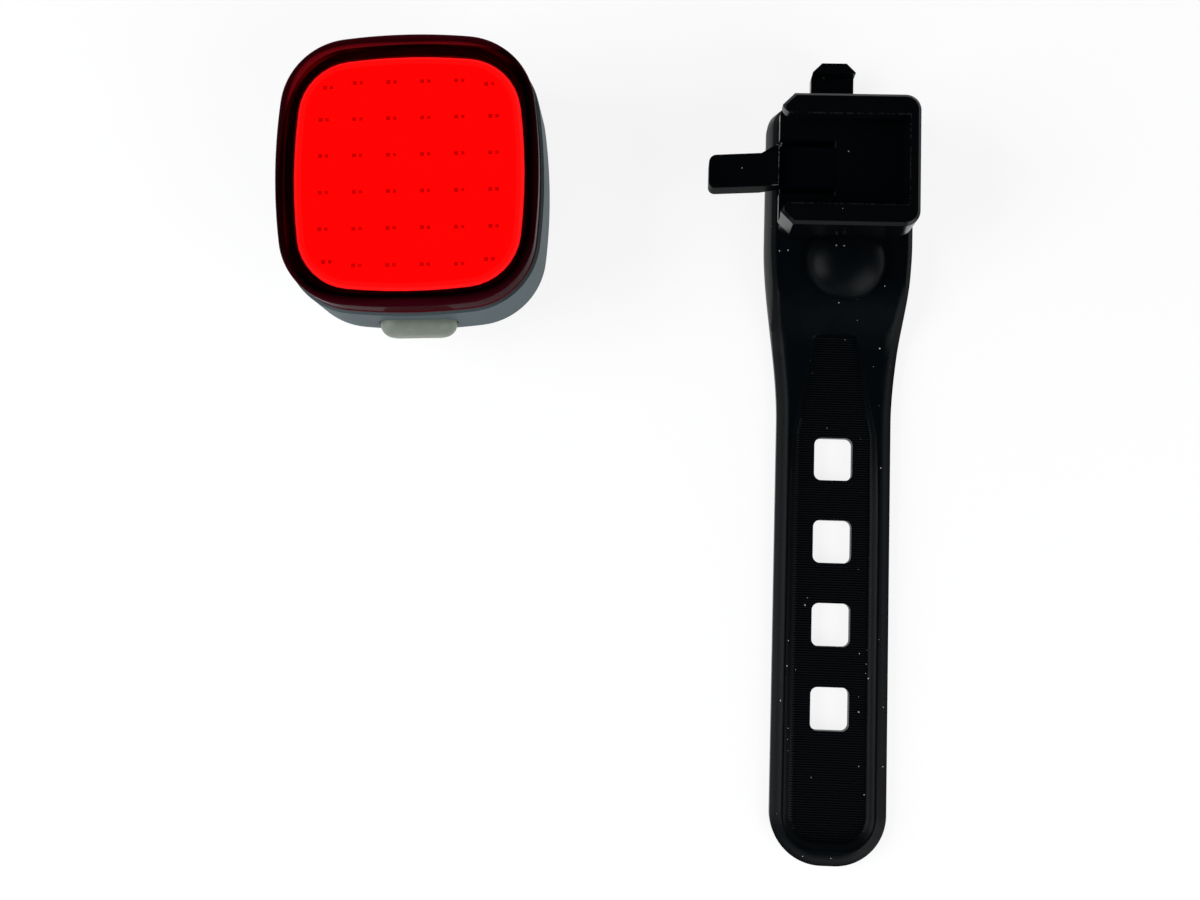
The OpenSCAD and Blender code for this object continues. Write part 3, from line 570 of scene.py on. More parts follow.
def wall_frame(z, lower):
    """A frame on the lower or upper wall: X along the wall, Z outwards from the light's middle."""
    return Matrix.Translation((0, 0, z)) @ Matrix.Rotation(math.radians(90 if lower else -90), 4, "X")


def add_pill(name, width, height, low, high, matrix):
    pill = add_plate(name, pill_points(width, height), low, high - low)
    settle(pill, matrix)
    return pill


button_low, button_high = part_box("power_button")
cover_low, cover_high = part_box("usb_cover")
button_z, port_z = (button_low.z + button_high.z) / 2, (cover_low.z + cover_high.z) / 2
button_frame, port_frame = wall_frame(button_z, True), wall_frame(port_z, False)
print("button at", round(button_z / mm, 2), "mm, port at", round(port_z / mm, 2), "mm above the table")

# %% Boxes and rods
def add_box(name, low, high):
    """A box between two corners."""
    middle = [(a + b) / 2 for a, b in zip(low, high)]
    piece = add_piece(name, bpy.ops.mesh.primitive_cube_add, size=1, location=middle)
    piece.scale = [b - a for a, b in zip(low, high)]
    settle(piece)
    return piece


def add_rod(name, radius, length, middle, sides=40, turn=(0, 0, 0)):
    """A round rod that stands up, unless it is turned."""
    piece = add_piece(name, bpy.ops.mesh.primitive_cylinder_add, vertices=sides, radius=radius,
                      depth=length, location=middle, rotation=turn)
    settle(piece)
    return piece


print("ready: boxes and rods")

# %% Openings in the walls
button_w, button_h, button_rim = 13.1 * mm, 6.4 * mm, 1.1 * mm
port_w, port_h = 9.54 * mm, 3.76 * mm
button_play, cover_play, roll_play, nail_gap = 0.25 * mm, 0.25 * mm, 0.05 * mm, 1.0 * mm
seat_play = button_rim + button_play
roll_r, cover_recess, cover_t = 0.6 * mm, 1.1 * mm, 1.2 * mm
roll_x, roll_y, roll_room = -6.6 * mm, wall_y - 0.65 * mm, 1.1 * mm
recess_h = cover_high.z - cover_low.z + 2 * cover_play
through = (inner_y - mm, wall_y + mm)
combine(housing_cup, [
    add_pill("button_cut", button_w + 2 * button_play, button_h + 2 * button_play, *through, button_frame),
    add_pill("seat_cut", button_w + 2 * seat_play, button_h + 2 * seat_play, inner_y - mm, inner_y,
             button_frame),
    add_pill("port_cut", port_w, port_h, *through, port_frame),
    add_box("cover_cut", (roll_x - roll_room, wall_y - cover_recess, port_z - recess_h / 2),
            (nail_gap - roll_x, wall_y + mm, port_z + recess_h / 2)),
    add_rod("roll_cut", roll_r + roll_play, recess_h, (roll_x, roll_y, port_z)),
], "DIFFERENCE")
print("faces of the cut cup:", len(housing_cup.data.polygons))

# %% Screw posts and foot
post_x, post_y, post_r, post_top = 13.55 * mm, 14.65 * mm, 2 * mm, inside_z + 6.4 * mm
post_len = post_top - inside_z + housing_back / 2
post_z = (post_top + inside_z - housing_back / 2) / 2
foot_half, flange_half, neck_half = 10.25 * mm, 9.0 * mm, 7.35 * mm
neck_top = housing_z + housing_back / 2
joins = [
    add_box("foot_flange", (-flange_half, -foot_half, 0), (flange_half, foot_half, foot_t)),
    add_box("foot_neck", (-neck_half, -foot_half, foot_t / 2), (neck_half, foot_half, neck_top)),
]
for x in (-post_x, post_x):
    for y in (-post_y, post_y):
        joins.append(add_rod("post", post_r, post_len, (x, y, post_z), sides=32))
combine(housing_cup, joins, "UNION")
soften(housing_cup, width=0.18 * mm, segments=2, angle=40)
smooth(housing_cup)
settle(housing_cup, light_frame)
print("foot width", round(2 * flange_half / mm, 2), "mm, posts:", len(joins) - 2)

# %% [markdown]
# ## Silver-grey plastic
# The housing's plastic holds a fine metal flake that sparkles a little, and it is slightly cloudy. A
# metal shader would mirror the table too clearly. So this is a plastic with a trace of metal, a fine
# noise for the flake, a wide one for the clouds and a very low bump for the grain of the mould.

# %% Silver-grey plastic
silver_dark, silver_light = (0.056, 0.075, 0.083, 1), (0.099, 0.128, 0.140, 1)
silver_plastic = Finish("silver_plastic", Metallic=0.08, IOR=1.06)
flake = silver_plastic.noise(0.12, detail=1.0)
cloud = silver_plastic.noise(7, detail=3.0)
silver_plastic.feed(
    Base_Color=silver_plastic.blend(flake * 0.55 + cloud * 0.45, silver_dark, silver_light),
    Roughness=flake * 0.12 + 0.38,
)
silver_plastic.bump(silver_plastic.noise(0.25), distance=0.012)
hand_over(housing_cup, "light", ["housing"], silver_plastic)

# %% [markdown]
# ## Power button
# The button is a pill of translucent grey silicone that stands out of the lower wall, with a domed
# face. A squashed ball would have no straight sides, so it is a pill-shaped plate whose outer edge is
# rounded over almost to the wall. A rim behind the wall keeps it in, and a nub meets the switch. The
# silicone lets some light in, so its shader scatters a little light under the surface.

# %% Power button
button_out, rim_back, button_edge_r = wall_y + 2.3 * mm, inner_y - 1.1 * mm, 2.2 * mm
rim_t, nub_r, nub_len, nub_z = mm, 1.5 * mm, mm, rim_back - 0.1 * mm
face_points = pill_points(button_w, button_h, steps=24)
rim_points = pill_points(button_w + 2 * button_rim, button_h + 2 * button_rim, steps=24)
button_cap = add_plate("button_cap", face_points, rim_back, button_out - rim_back)
bevel_edges(button_cap, at_height(button_out), button_edge_r, segments=10)
button_skirt = add_plate("button_skirt", rim_points, rim_back, rim_t)
nub = add_rod("nub", nub_r, nub_len, (0, 0, nub_z), sides=32)
combine(button_cap, [button_skirt, nub], "UNION")
smooth(button_cap)
settle(button_cap, light_frame @ button_frame)
print("button stands out by", round((button_out - wall_y) / mm, 2), "mm")

# %% Button silicone
def mottled(name, dark_tone, light_tone, grain, rough, gloss_grain, **constants):
    """Two tones of a colour, mixed by a noise, with an uneven gloss. Grains are in millimetres."""
    finish = Finish(name, **constants)
    finish.feed(
        Base_Color=finish.blend(finish.noise(grain, detail=3.0), dark_tone, light_tone),
        Roughness=finish.uneven(least=rough, spread=0.15, size=gloss_grain),
    )
    return finish


button_silicone = mottled("button_silicone", (0.120, 0.146, 0.117, 1), (0.188, 0.218, 0.181, 1), grain=1.6,
                          rough=0.38, gloss_grain=0.5, IOR=1.41, Subsurface_Weight=0.35,
                          Subsurface_Scale=0.6 * mm)
button_silicone.bump(button_silicone.noise(0.3), distance=0.01)
hand_over(button_cap, "button", ["power_button"], button_silicone)

# %% [markdown]
# ## Charging cover
# A rubber flap closes the charging port on the upper wall. It could be three pieces, but the real one
# is a single moulding, so its plate, its hinge roll and the plug behind it are joined into one and
# all edges are softened. Its rubber is a dark mottled grey with a fine grain.

# %% Charging cover
recess_y = wall_y - cover_recess
cover_y = recess_y + 0.05 * mm
plug_play, plug_in, plug_out = 0.6 * mm, recess_y - 0.8 * mm, recess_y + 0.6 * mm


def end_corner(x, level):
    """A test for the corner edges at one end of a piece, whose points share that end and a level."""
    def test(edge):
        first, second = [v.co for v in edge.verts]
        at_end = abs(first.x - x) < tiny and abs(second.x - x) < tiny
        return at_end and abs(first[level] - second[level]) < tiny
    return test


cover_plate = add_box("cover_flap", (roll_x, cover_y, cover_low.z),
                      (-roll_x, cover_y + cover_t, cover_high.z))
corners = bevel_edges(cover_plate, end_corner(-roll_x, level=2), width=0.8 * mm, segments=6)
plug = add_pill("plug", port_w - plug_play, port_h - plug_play, plug_in, plug_out, port_frame)
roll = add_rod("roll", roll_r, cover_high.z - cover_low.z, (roll_x, roll_y, port_z))
combine(cover_plate, [plug, roll], "UNION")
soften(cover_plate, width=0.12 * mm, segments=2, angle=40)
smooth(cover_plate)
settle(cover_plate, light_frame)
print("rounded cover corners:", corners)

# %% Cover rubber
cover_rubber = mottled("cover_rubber", (0.020, 0.023, 0.024, 1), (0.036, 0.040, 0.042, 1), grain=1.2,
                       rough=0.55, gloss_grain=0.4)
cover_rubber.bump(cover_rubber.noise(0.2), distance=0.01)
hand_over(cover_plate, "usb_flap", ["usb_cover"], cover_rubber)

# %% [markdown]
# ## LED panel
# Behind the lens lies a white board with a field of LED chips under a thin red layer of silicone,
# inside a raised dam. The construction model already has these flat shapes, so they stay and only
# get their finishes. Lamps behind the lens could light them, but instead each layer gets a faint
# painted glow of its own colour, which stands in for the light that falls on it and is even.

# %% LED panel
def dress(node, finish):
    """Gives a construction-model node its finish and leaves its shape alone."""
    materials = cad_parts[node].data.materials
    materials.clear()
    materials.append(finish.material)


panel = {
    "cob_fill": ("fill_silicone", (0.90, 0.10, 0.08, 1), (1.0, 0.14, 0.11, 1), 1.1),
    "cob_dam": ("dam_silicone", (1.0, 0.30, 0.26, 1), (1.0, 0.36, 0.30, 1), 1.2),
    "led_board": ("white_board", (0.85, 0.84, 0.80, 1), (0.92, 0.91, 0.88, 1), 0.9),
    "led_chips": ("led_die", (0.46, 0.03, 0.03, 1), (0.58, 0.05, 0.04, 1), 0.8),
}
# Painted glow: each layer's own colour is also given out as emission, though the LEDs are off.
for node, (slot, dark_tone, light_tone, painted_glow_strength) in panel.items():
    layer = Finish(slot, Emission_Strength=painted_glow_strength, Roughness=0.5)
    colour = layer.blend(layer.noise(3, detail=3.0), dark_tone, light_tone)
    layer.feed(Base_Color=colour, Emission_Color=colour)
    dress(node, layer)
black_frame = Finish("black_frame", Base_Color=(0.003, 0.003, 0.003, 1))
black_frame.feed(Roughness=black_frame.uneven(least=0.5, spread=0.2, size=1.5))
dress("bezel_frame", black_frame)
print("glowing layers:", list(panel))

# %% [markdown]
# ## Pieces inside the light
# The battery, the boards and their parts are hidden, but they are there, and a cut-away view shows
# them. Each could be modelled again, but its plain shape from the construction model is right, so it
# only gets a finish: two tones of its colour, mixed by a noise, and an uneven gloss.

# %% Pieces inside the light
inner_finishes = {
    # slot: dark tone, light tone, roughness, grain in millimetres, metal, nodes
    "green_board": ((0.02, 0.16, 0.06, 1), (0.04, 0.24, 0.09, 1), 0.35, 1.5, 0.0, ["control_board"]),
    "chip_black": ((0.012, 0.012, 0.013, 1), (0.025, 0.025, 0.027, 1), 0.5, 0.5, 0.0,
                   ["driver_chip", "charge_chip", "usb_tongue"]),
    "status_lens": ((0.50, 0.75, 0.50, 1), (0.65, 0.85, 0.62, 1), 0.15, 0.5, 0.0, ["status_led"]),
    "switch_grey": ((0.10, 0.10, 0.11, 1), (0.17, 0.17, 0.18, 1), 0.45, 0.8, 0.0, ["tact_switch"]),
    "plunger_white": ((0.75, 0.73, 0.66, 1), (0.86, 0.84, 0.78, 1), 0.4, 0.6, 0.0, ["switch_plunger"]),
    "socket_steel": ((0.55, 0.56, 0.58, 1), (0.72, 0.72, 0.74, 1), 0.25, 0.7, 1.0, ["usb_shell"]),
    "cell_foil": ((0.62, 0.63, 0.65, 1), (0.78, 0.79, 0.80, 1), 0.3, 2.0, 0.8, ["battery_cell"]),
    "foam_tape": ((0.08, 0.08, 0.09, 1), (0.15, 0.15, 0.16, 1), 0.7, 0.4, 0.0, ["battery_pad"]),
    "lead_red": ((0.50, 0.02, 0.02, 1), (0.66, 0.03, 0.03, 1), 0.35, 0.8, 0.0, ["battery_leads"]),
    "pin_brass": ((0.72, 0.55, 0.24, 1), (0.85, 0.70, 0.36, 1), 0.25, 0.4, 1.0, ["link_pins"]),
    "screw_steel": ((0.48, 0.48, 0.50, 1), (0.62, 0.62, 0.64, 1), 0.3, 0.4, 1.0, ["board_screws"]),
}
for slot, (dark_tone, light_tone, rough, grain, metal, nodes) in inner_finishes.items():
    finish = mottled(slot, dark_tone, light_tone, grain, rough, gloss_grain=grain * 0.5, Metallic=metal)
    for node in nodes:
        dress(node, finish)
print("inner finishes:", len(inner_finishes))

# %% [markdown]
# ## Receiver
# The receiver is a hard black moulding: a block on the strap's head, a channel with two lips that
# hold the light's foot, a closed end, a bay for the spring tongue to bend into, and a hook that
# sticks out past the strap. Its hollows cross each other, which is hard to draw as one mesh, so it is
# built from two plates of its outline and cut by plain shapes. Its top has a narrow flat chamfer, and
# its other edges get the small round that catches light on a glossy moulding.

# %% Receiver outline and levels
receiver_len, receiver_w = 22.8 * mm, 22.2 * mm
head_t, block_h, floor_t, channel_h, lip_t = 6.3 * mm, 6.5 * mm, 1.8 * mm, 2.8 * mm, 2.4 * mm
channel_z = head_t + block_h
floor_top = channel_z + floor_t
receiver_top = floor_top + channel_h + lip_t
mouth_x, end_x = -receiver_len / 2, receiver_len / 2 - 1.9 * mm
channel_half, lip_half, lead_r = 9.2 * mm, 7.55 * mm, 1.7 * mm
end_corner_r, mouth_corner = 2.6 * mm, 2.0 * mm


def receiver_outline(inset, steps=10):
    """Round corners at the closed end, and cut corners at the mouth."""
    x, y = receiver_len / 2 - inset, receiver_w / 2 - inset
    c, r = mouth_corner - inset * (2 - math.sqrt(2)), end_corner_r - inset
    arc = [math.pi / 2 * i / steps for i in range(steps + 1)]
    lower = [(x - r + r * math.sin(t), r - y - r * math.cos(t)) for t in arc]
    upper = [(px, -py) for px, py in reversed(lower)]
    return [(c - x, -y)] + lower + upper + [(c - x, y), (-x, y - c), (-x, c - y)]


def slot_outline(steps=8):
    """The gap between the lips, with a round lead-in at the mouth."""
    side = [(mouth_x - mm, lip_half + lead_r), (mouth_x, lip_half + lead_r)]
    for i in range(1, steps + 1):
        t = math.pi / 2 * i / steps
        side.append((mouth_x + lead_r - lead_r * math.cos(t), lip_half + lead_r - lead_r * math.sin(t)))
    side.append((end_x, lip_half))
    return [(x, -y) for x, y in side] + list(reversed(side))


print("receiver top at", round(receiver_top / mm, 2), "mm")

# %% Receiver body
top_chamfer, base_inset, base_overlap = 0.5 * mm, 0.6 * mm, 0.3 * mm
tongue_half, slit, tongue_t = 3.55 * mm, 1.2 * mm, 1.6 * mm
root_x, bay_depth, groove_play = mouth_x + 9.2 * mm, 3.2 * mm, 0.05 * mm
slot_half = tongue_half + slit
receiver_body = add_plate("receiver_body", receiver_outline(0), channel_z, receiver_top - channel_z)
bevel_edges(receiver_body, at_height(receiver_top), top_chamfer, segments=1)
base = add_plate("base", receiver_outline(base_inset), head_t, block_h + base_overlap)
groove = add_rod("groove", tongue_t / 2 + groove_play, 2 * slot_half, (root_x, 0, floor_top - tongue_t / 2),
                 turn=(math.pi / 2, 0, 0))
combine(receiver_body, [base], "UNION")
combine(receiver_body, [
    add_box("channel", (mouth_x - mm, -channel_half, floor_top),
            (end_x, channel_half, floor_top + channel_h)),
    add_plate("slot", slot_outline(), floor_top + 0.5 * mm, 10 * mm),
    add_box("bay", (mouth_x - mm, -slot_half, channel_z - bay_depth), (root_x, slot_half, floor_top + mm)),
    groove,
], "DIFFERENCE")
soften(receiver_body, width=0.3 * mm, segments=4, angle=50)
smooth(receiver_body)
print("receiver faces:", len(receiver_body.data.polygons))

# %% Hook
hook_x, hook_half, hook_corner = -1.4 * mm, 3.75 * mm, 1.6 * mm
hook_start, hook_reach = 7.5 * mm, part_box("receiver")[1].y
hook_z, shelf_top = 1.5 * mm, 3.7 * mm
hook_lip_t, hook_lip_h = 1.8 * mm, 2.9 * mm


def hook_outline(from_y):
    cut_x, cut_y = hook_half - hook_corner, hook_reach - hook_corner
    points = [(-hook_half, from_y), (hook_half, from_y), (hook_half, cut_y), (cut_x, hook_reach),
              (-cut_x, hook_reach), (-hook_half, cut_y)]
    return [(x + hook_x, y) for x, y in points]


strap_hook = add_plate("strap_hook", hook_outline(hook_start), hook_z, shelf_top - hook_z)
hook_lip = add_plate("hook_lip", hook_outline(hook_reach - hook_lip_t), hook_z + mm,
                     shelf_top + hook_lip_h - hook_z - mm)
combine(strap_hook, [hook_lip], "UNION")
soften(strap_hook, width=0.35 * mm, segments=3, angle=35)
smooth(strap_hook)
print("hook reaches", round(hook_reach / mm, 2), "mm")

# %% [markdown]
# ## Release tongue
# The tongue is a springy blade in the channel's floor. A ridge at the mouth latches behind the
# light's foot, and the tab outside is pressed down to let the light out. A bent strip would be equally
# thick all along, which this one isn't, so its side view is drawn once and extruded across. Two cuts
# across it mark the ramp, so that the tab can be narrowed without bending its sides, and the tab's
# corners are rounded.

# %% Tongue side view
latch_x, latch_flat, ramp_len, latch_h = mouth_x - 0.1 * mm, 0.5 * mm, 2.4 * mm, 1.2 * mm
tab_len, tab_drop, tab_t = 8.8 * mm, 1.6 * mm, 4.2 * mm
crest_x = latch_x - latch_flat
ramp_x = crest_x - ramp_len
tip_x, tip_z = ramp_x - tab_len, floor_top - tab_drop
under, crest = floor_top - tongue_t, floor_top + latch_h
root_r, root_steps = tongue_t / 2, 8
side_view = [(root_x, under)]
for i in range(1, root_steps):
    t = math.pi * i / root_steps
    side_view.append((root_x + root_r * math.sin(t), under + root_r * (1 - math.cos(t))))
side_view += [
    (root_x, floor_top), (latch_x, floor_top), (latch_x, crest), (crest_x, crest), (ramp_x, floor_top),
    (tip_x, tip_z), (tip_x, tip_z - tab_t), (ramp_x, floor_top - tab_t), (mouth_x, under),
]
print("points of the side view:", len(side_view))

# %% Tongue blade
tab_y, tab_half, tab_corner_r = -0.5 * mm, 2.9 * mm, 1.2 * mm
tongue_blade = add_plate("tongue_blade", side_view, -tongue_half, 2 * tongue_half)
settle(tongue_blade, Matrix.Rotation(math.pi / 2, 4, "X"))
for cut_x in (ramp_x, crest_x):
    select_all(tongue_blade)
    bpy.ops.mesh.bisect(plane_co=(cut_x, 0, 0), plane_no=(1, 0, 0))
    leave_edit()
select(tongue_blade, "faces", lambda face: all(v.co.x < ramp_x + tiny for v in face.verts))
bpy.ops.transform.resize(value=(1, tab_half / tongue_half, 1), center_override=(0, 0, 0))
bpy.ops.transform.translate(value=(0, tab_y, 0))
leave_edit()
corners = bevel_edges(tongue_blade, end_corner(tip_x, level=1), tab_corner_r, segments=6)
soften(tongue_blade, width=0.2 * mm, segments=3, angle=30)
smooth(tongue_blade)
print("rounded tab corners:", corners)

# %% [markdown]
# ## Glossy black plastic
# Receiver, hook and tongue are moulded in black. One flat black would look like a hole in the
# picture, so a faint haze changes colour and gloss, and grains of dust lie on it. Wear could be put
# on all edges by their curvature, but only the edges that the light's foot rubs turn a dotted grey,
# which is both wear and a painted highlight of their small rounds. So masks by place pick just those.
# The tongue is duller than the receiver and has its own finish.

# %% Glossy black plastic
black_dark, black_light = (0.0008, 0.0013, 0.0018, 1), (0.0015, 0.0023, 0.0031, 1)
plastic_dust = (0.25, 0.26, 0.26, 1)


def glossy_black(name, gloss_ior, dust_share):
    """Black moulded plastic with a faint haze and grains of dust. Also gives back its bare colour."""
    plastic = Finish(name, IOR=gloss_ior)
    haze = plastic.noise(5, detail=4.0, rough=0.6)
    body = plastic.blend(haze, black_dark, black_light)
    body = plastic.blend(plastic.specks(1.5, dust_share), body, plastic_dust)
    plastic.feed(Base_Color=body, Roughness=haze * 0.12 + 0.16)
    plastic.bump(plastic.noise(0.35), distance=0.006)
    return plastic, body


black_plastic, black_colour = glossy_black("black_plastic", gloss_ior=1.25, dust_share=0.12)
tongue_black, tongue_colour = glossy_black("tongue_black", gloss_ior=1.04, dust_share=0.3)
print("black finishes:", black_plastic.material.name, tongue_black.material.name)

# %% Wear and painted highlights along the lips
# The light's foot rubs the rounded inner edges of the lips and of the closed end. Their dotted grey
# is both that wear and a painted highlight of the small rounds.
wear_and_highlight_w, wear_and_highlight_grey = 0.22 * mm, (0.0080, 0.0100, 0.0100, 1)
x_at, y_at, z_at = black_plastic.axes(black_plastic.place)
side = y_at * y_at
in_slot = (side < (lip_half + wear_and_highlight_w) ** 2) * (x_at < end_x + wear_and_highlight_w)
at_edge = (side > lip_half ** 2).larger(x_at > end_x)
rubbed_and_highlight = at_edge * in_slot * (z_at > receiver_top - wear_and_highlight_w) * (black_plastic.noise(0.5) > 0.5)
black_plastic.feed(Base_Color=black_plastic.blend(rubbed_and_highlight, black_colour, wear_and_highlight_grey))
print("rubbed edge", round(wear_and_highlight_w / mm, 2), "mm wide")

# %% Scuffs and painted highlights on the latch
# The light's foot slides over the latch and scuffs the upper edges of its wedge. Their dotted grey
# is both those scuffs and a painted highlight of the small rounds.
scuff_and_highlight_w, scuff_and_highlight_grey = 0.16 * mm, (0.085, 0.10, 0.092, 1)
x_at, y_at, z_at = tongue_black.axes(tongue_black.place)
wedge_z = ((x_at - ramp_x) * (latch_h / ramp_len) + floor_top).smaller(crest)
on_wedge = (z_at > floor_top + 2 * scuff_and_highlight_w) * (z_at > wedge_z - scuff_and_highlight_w)
at_edge = (y_at * y_at > (tongue_half - scuff_and_highlight_w) ** 2).larger(x_at > latch_x - scuff_and_highlight_w)
worn_and_highlight = at_edge * on_wedge * (tongue_black.noise(0.3) > 0.48)
tongue_black.feed(Base_Color=tongue_black.blend(worn_and_highlight, tongue_colour, scuff_and_highlight_grey))
print("scuffed edge", round(scuff_and_highlight_w / mm, 2), "mm wide")

# %% Hand over the black pieces
hand_over(receiver_body, "mount", ["receiver"], black_plastic)
hand_over(strap_hook, "mount", ["receiver"], black_plastic)
hand_over(tongue_blade, "tongue", ["release_tongue"], tongue_black)

# %% [markdown]
# ## Strap
# The strap is one rubber moulding with many gentle changes: it narrows and thins from the head to
# the tail, its top edges slope, a dome stands in front of the receiver, and a sunk panel with fine
# cross ribs runs down the tail. A box could be subdivided and pushed into shape, but a formula for the
# height of the top keeps every slope even. So a grid gives the points: its columns are wrapped round
# the section and its rows run along the strap. The dome is a flattened ball joined on, because a ball
# keeps its round foot where a grid cannot.

# %% Strap sizes and easing
head_reach, tail_y = 13.8 * mm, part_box("strap")[0].y
head_half, tail_half, tail_t = 12.7 * mm, 9.9 * mm, 3.2 * mm
head_corner_r, tail_corner_r = 3.6 * mm, 8.8 * mm
waist_low, waist_high = -42 * mm, -10 * mm
rise_low, rise_high = -30 * mm, -17 * mm


def clamp(t):
    return min(1.0, max(0.0, t))


def ease(value, low, high):
    """Goes from 0 to 1 between two places, with soft ends."""
    t = clamp((value - low) / (high - low))
    return t * t * (3 - 2 * t)


def slope(t):
    """A straight ramp whose two ends are eased."""
    t = clamp(t)
    return 0.6 * t + 0.4 * t * t * (3 - 2 * t)


def between(a, b, t):
    return a + (b - a) * t


def half_width(y):
    return between(tail_half, head_half, ease(y, waist_low, waist_high))


def headness(y):
    """0 in the tail and 1 in the head, for all that grows towards the head."""
    return ease(y, rise_low, rise_high)


print("strap length", round((head_reach - tail_y) / mm, 1), "mm")

# %% Recess and outline
recess_floor, recess_start, recess_end = 2.0 * mm, -26.9 * mm, tail_y + 4.2 * mm
recess_wide, recess_narrow, recess_wide_to, taper_len = 6.3 * mm, 3.35 * mm, -44 * mm, 17.1 * mm
soft_wall, steep_wall, soft_to, steep_from = 1.4 * mm, 0.47 * mm, -60 * mm, -27 * mm


def recess_half(y):
    return between(recess_wide, recess_narrow, clamp((y - recess_wide_to) / taper_len))


def recess_slope(y):
    """Width of the recess's sloped wall."""
    return between(soft_wall, steep_wall, ease(y, soft_to, steep_from))


def outline_half(y):
    """Half width of the strap, with its round corners."""
    half = half_width(y)
    for end, r in ((y - tail_y, tail_corner_r), (head_reach - y, head_corner_r)):
        if end < r:
            half += math.sqrt(max(0.0, r * r - (r - end) ** 2)) - r
    return half


print("recess length", round((recess_start - recess_end) / mm, 1), "mm")

# %% Height of the strap's top
tail_edge_w, tail_edge_h, head_edge = 1.9 * mm, 1.5 * mm, 0.9 * mm
recess_end_r, recess_start_r = 4.2 * mm, 0.9 * mm
rib_pitch, rib_h = 0.42 * mm, 0.10 * mm


def corner_depth(side, end, r):
    """How deep a point lies inside a corner of that radius."""
    if side < r and end < r:
        return r - math.hypot(r - side, r - end)
    return min(side, end)


def strap_top(x, y):
    """Height of the strap's top at a point: sloped edges, then the sunk panel, then its ribs."""
    head = headness(y)
    side = half_width(y) - abs(x)
    depth = min(corner_depth(side, y - tail_y, tail_corner_r),
                corner_depth(side, head_reach - y, head_corner_r))
    edge_w, edge_h = between(tail_edge_w, head_edge, head), between(tail_edge_h, head_edge, head)
    z = between(tail_t, head_t, head) - edge_h * (1 - slope(depth / edge_w))
    wall_w = recess_slope(y)
    inner = recess_half(y) + wall_w - abs(x)
    sunk = min(corner_depth(inner, y - recess_end + wall_w, recess_end_r + wall_w),
               corner_depth(inner, recess_start + wall_w - y, recess_start_r))
    share = slope(sunk / wall_w)
    z = between(z, recess_floor, share)
    if share > 0.99:
        z += rib_h * (0.5 + 0.5 * math.cos(2 * math.pi * y / rib_pitch))
    return z


print("strap top in the recess:", round(strap_top(0, -70 * mm) / mm, 2), "mm")

# %% Strap rows and columns
end_rows, head_rows, rows_per_rib = 14, 110, 4
floor_share, rim_share = 0.55, 0.68


def strap_rows():
    """Places along the strap: close together in the ribs and round the ends."""
    rows, step = [], rib_pitch / rows_per_rib
    ends = recess_end - 1.6 * mm
    turns = [math.pi / 2 * i / end_rows for i in range(end_rows + 1)]
    rows += [tail_y + (ends - tail_y) * (1 - math.cos(t)) for t in turns[:-1]]
    count = int((recess_start + 0.8 * mm - ends) / step)
    rows += [ends + step * i for i in range(count)]
    start, stop = ends + step * count, head_reach - head_corner_r
    rows += [between(start, stop, i / head_rows) for i in range(head_rows)]
    return rows + [stop + head_corner_r * math.sin(t) for t in turns]


def strap_columns(y):
    """Half of a row's columns, from the middle out to the edge, bunched at the lines of the recess."""
    edge = outline_half(y)
    above = ease(y, recess_start - 0.5 * mm, recess_start + 3 * mm)
    short = min(1.0, edge / half_width(y))
    floor_x = between(recess_half(y), floor_share * edge, above) * short
    rim_x = between(recess_half(y) + recess_slope(y), rim_share * edge, above) * short
    slope_x = max(edge - between(tail_edge_w, head_edge, headness(y)), edge * 0.8)
    rim_x, floor_x = min(rim_x, slope_x * 0.99), min(floor_x, slope_x * 0.85)
    marks = [(0.0, floor_x, 14), (floor_x, rim_x, 4), (rim_x, slope_x, 4), (slope_x, edge, 4)]
    half = [between(a, b, i / n) for a, b, n in marks for i in range(n)]
    return half + [edge]


rows = strap_rows()
print("rows:", len(rows), "columns on each side:", len(strap_columns(rows[0])))

# %% Strap skin
# The head's left flank leans in above a low edge, and that sloped face mirrors the left soft box as
# a pale band. Each ring starts at the back on the right, runs over the top to the left flank and
# returns along the back, so it has four points more than the top.
flank_w, flank_low = 0.85 * mm, 0.46
ring_size = 2 * len(strap_columns(rows[0])) - 1 + 4
strap_skin = add_piece("strap_skin", bpy.ops.mesh.primitive_grid_add, x_subdivisions=ring_size - 1,
                       y_subdivisions=len(rows) - 1, size=1)
points = []
for y in rows:
    half = strap_columns(y)
    columns = list(reversed(half)) + [-x for x in half[1:]]
    right, left = columns[0], columns[-1]
    lean = flank_w * headness(y) / half[-1]
    points.append((right, y, 0.0))
    points += [(x * (1 - lean) if x < 0 else x, y, strap_top(x, y)) for x in columns]
    points.append((left, y, flank_low * between(tail_t, head_t, headness(y))))
    points += [(left, y, 0.0), (right, y, 0.0)]
for vertex, point in zip(strap_skin.data.vertices, points):
    vertex.co = point
print("strap points:", len(points), "grid points:", len(strap_skin.data.vertices))

# %% Close the strap and add its dome
dome_r, dome_h, dome_x, dome_y = 7.0 * mm, 4.2 * mm, 1.0 * mm, -14.0 * mm
select_all(strap_skin)
bpy.ops.mesh.remove_doubles(threshold=2 * tiny)
bpy.ops.mesh.fill_holes(sides=0)
bpy.ops.mesh.normals_make_consistent(inside=False)
leave_edit()
dome = add_piece("dome", bpy.ops.mesh.primitive_uv_sphere_add, segments=64, ring_count=32, radius=1,
                 location=(dome_x, dome_y, head_t), scale=(dome_r, dome_r, dome_h))
settle(dome)
combine(strap_skin, [dome], "UNION")
print("strap faces with the dome:", len(strap_skin.data.polygons))

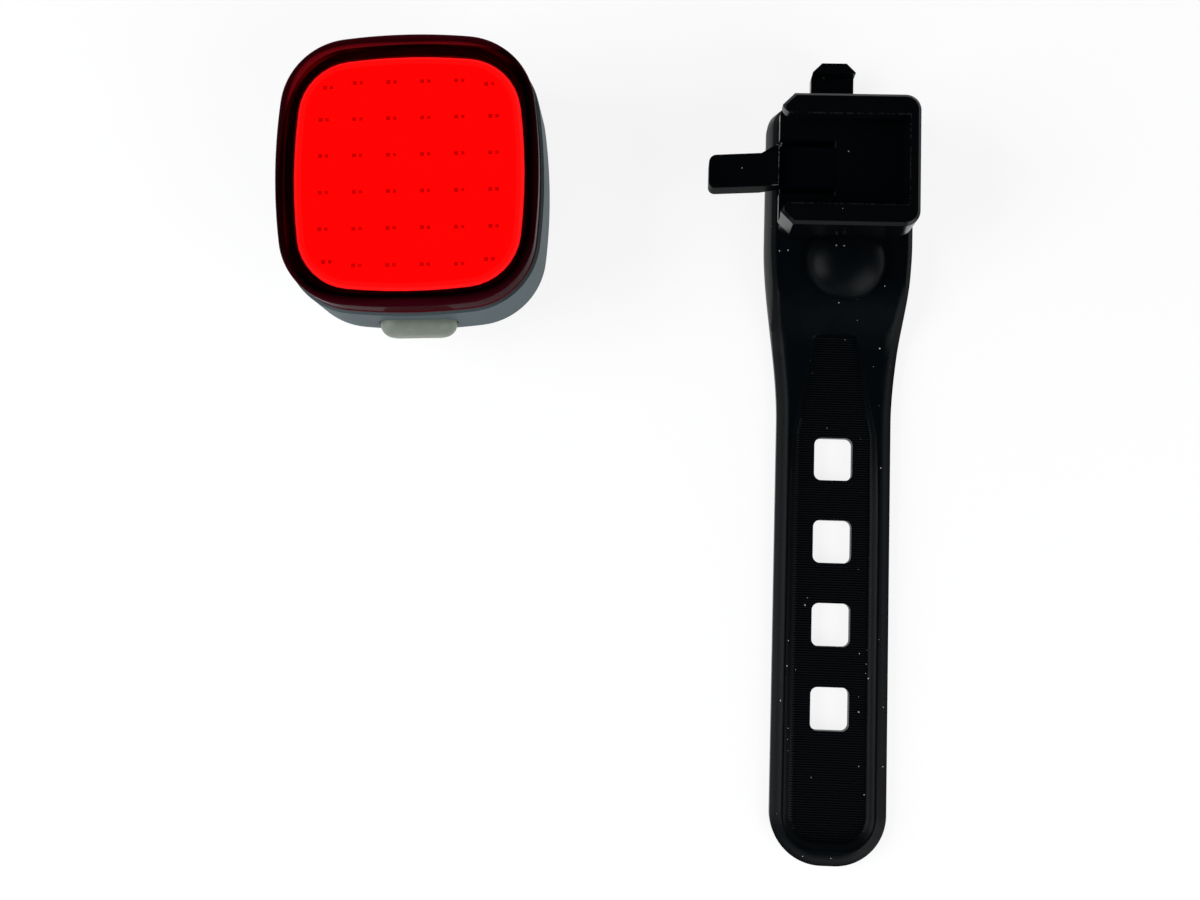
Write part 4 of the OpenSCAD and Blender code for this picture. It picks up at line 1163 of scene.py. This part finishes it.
# %% Adjusting holes
hole_half_w, hole_half_len, hole_r = 3.3 * mm, 3.7 * mm, 1.2 * mm
hole_start, hole_pitch, hole_count = 48.2 * mm, 14.35 * mm, 4


def hole_outline(centre_y, steps=6):
    """A rectangle with round corners."""
    x, y = hole_half_w - hole_r, hole_half_len - hole_r
    points = []
    for quarter, (sx, sy) in enumerate(((1, 1), (-1, 1), (-1, -1), (1, -1))):
        for i in range(steps + 1):
            t = math.pi / 2 * (quarter + i / steps)
            points.append((sx * x + hole_r * math.cos(t), centre_y + sy * y + hole_r * math.sin(t)))
    return points


holes = [hole_outline(-hole_start - i * hole_pitch) for i in range(hole_count)]
combine(strap_skin, [add_plate("hole", hole, -mm, 8 * mm) for hole in holes], "DIFFERENCE")
smooth(strap_skin, angle=40)
print("adjusting holes:", len(holes))

# %% [markdown]
# ## Black rubber
# The strap's rubber is a dull black with a faint bluish bloom, a fine skin and pale grains of dust.
# The ribs could be drawn by a bump, but they are real geometry here, so the finish only darkens the
# sunk panel a little, as a painted shade of the recess. Bloom and dust come from noise and cells in the
# piece's own coordinates, so they stay in place from every side.

# %% Black rubber
rubber_dark, rubber_light = (0.0006, 0.0014, 0.0021, 1), (0.0016, 0.0029, 0.0039, 1)
panel_shade_black, rubber_dust = (0.0004, 0.0010, 0.0017, 1), (0.42, 0.43, 0.44, 1)
panel_top, panel_half = 2.4 * mm, 6.6 * mm
strap_rubber = Finish("strap_rubber", IOR=1.14)
bloom = strap_rubber.noise(6, detail=4.0, rough=0.6)
x_at, _, z_at = strap_rubber.axes(strap_rubber.place)
# Painted shade: the sunk panel between the ribs gets a darker black, as the recess shades it.
in_shaded_panel = (z_at < panel_top) * (x_at * x_at < panel_half ** 2)
rubber = strap_rubber.blend(bloom, rubber_dark, rubber_light)
rubber = strap_rubber.blend(in_shaded_panel, rubber, panel_shade_black)
strap_rubber.feed(
    Base_Color=strap_rubber.blend(strap_rubber.specks(1.5, share=0.4), rubber, rubber_dust),
    Roughness=bloom * 0.10 + 0.30,
)
strap_rubber.bump(strap_rubber.noise(0.22, detail=3.0), distance=0.02)
hand_over(strap_skin, "mount", ["strap"], strap_rubber)
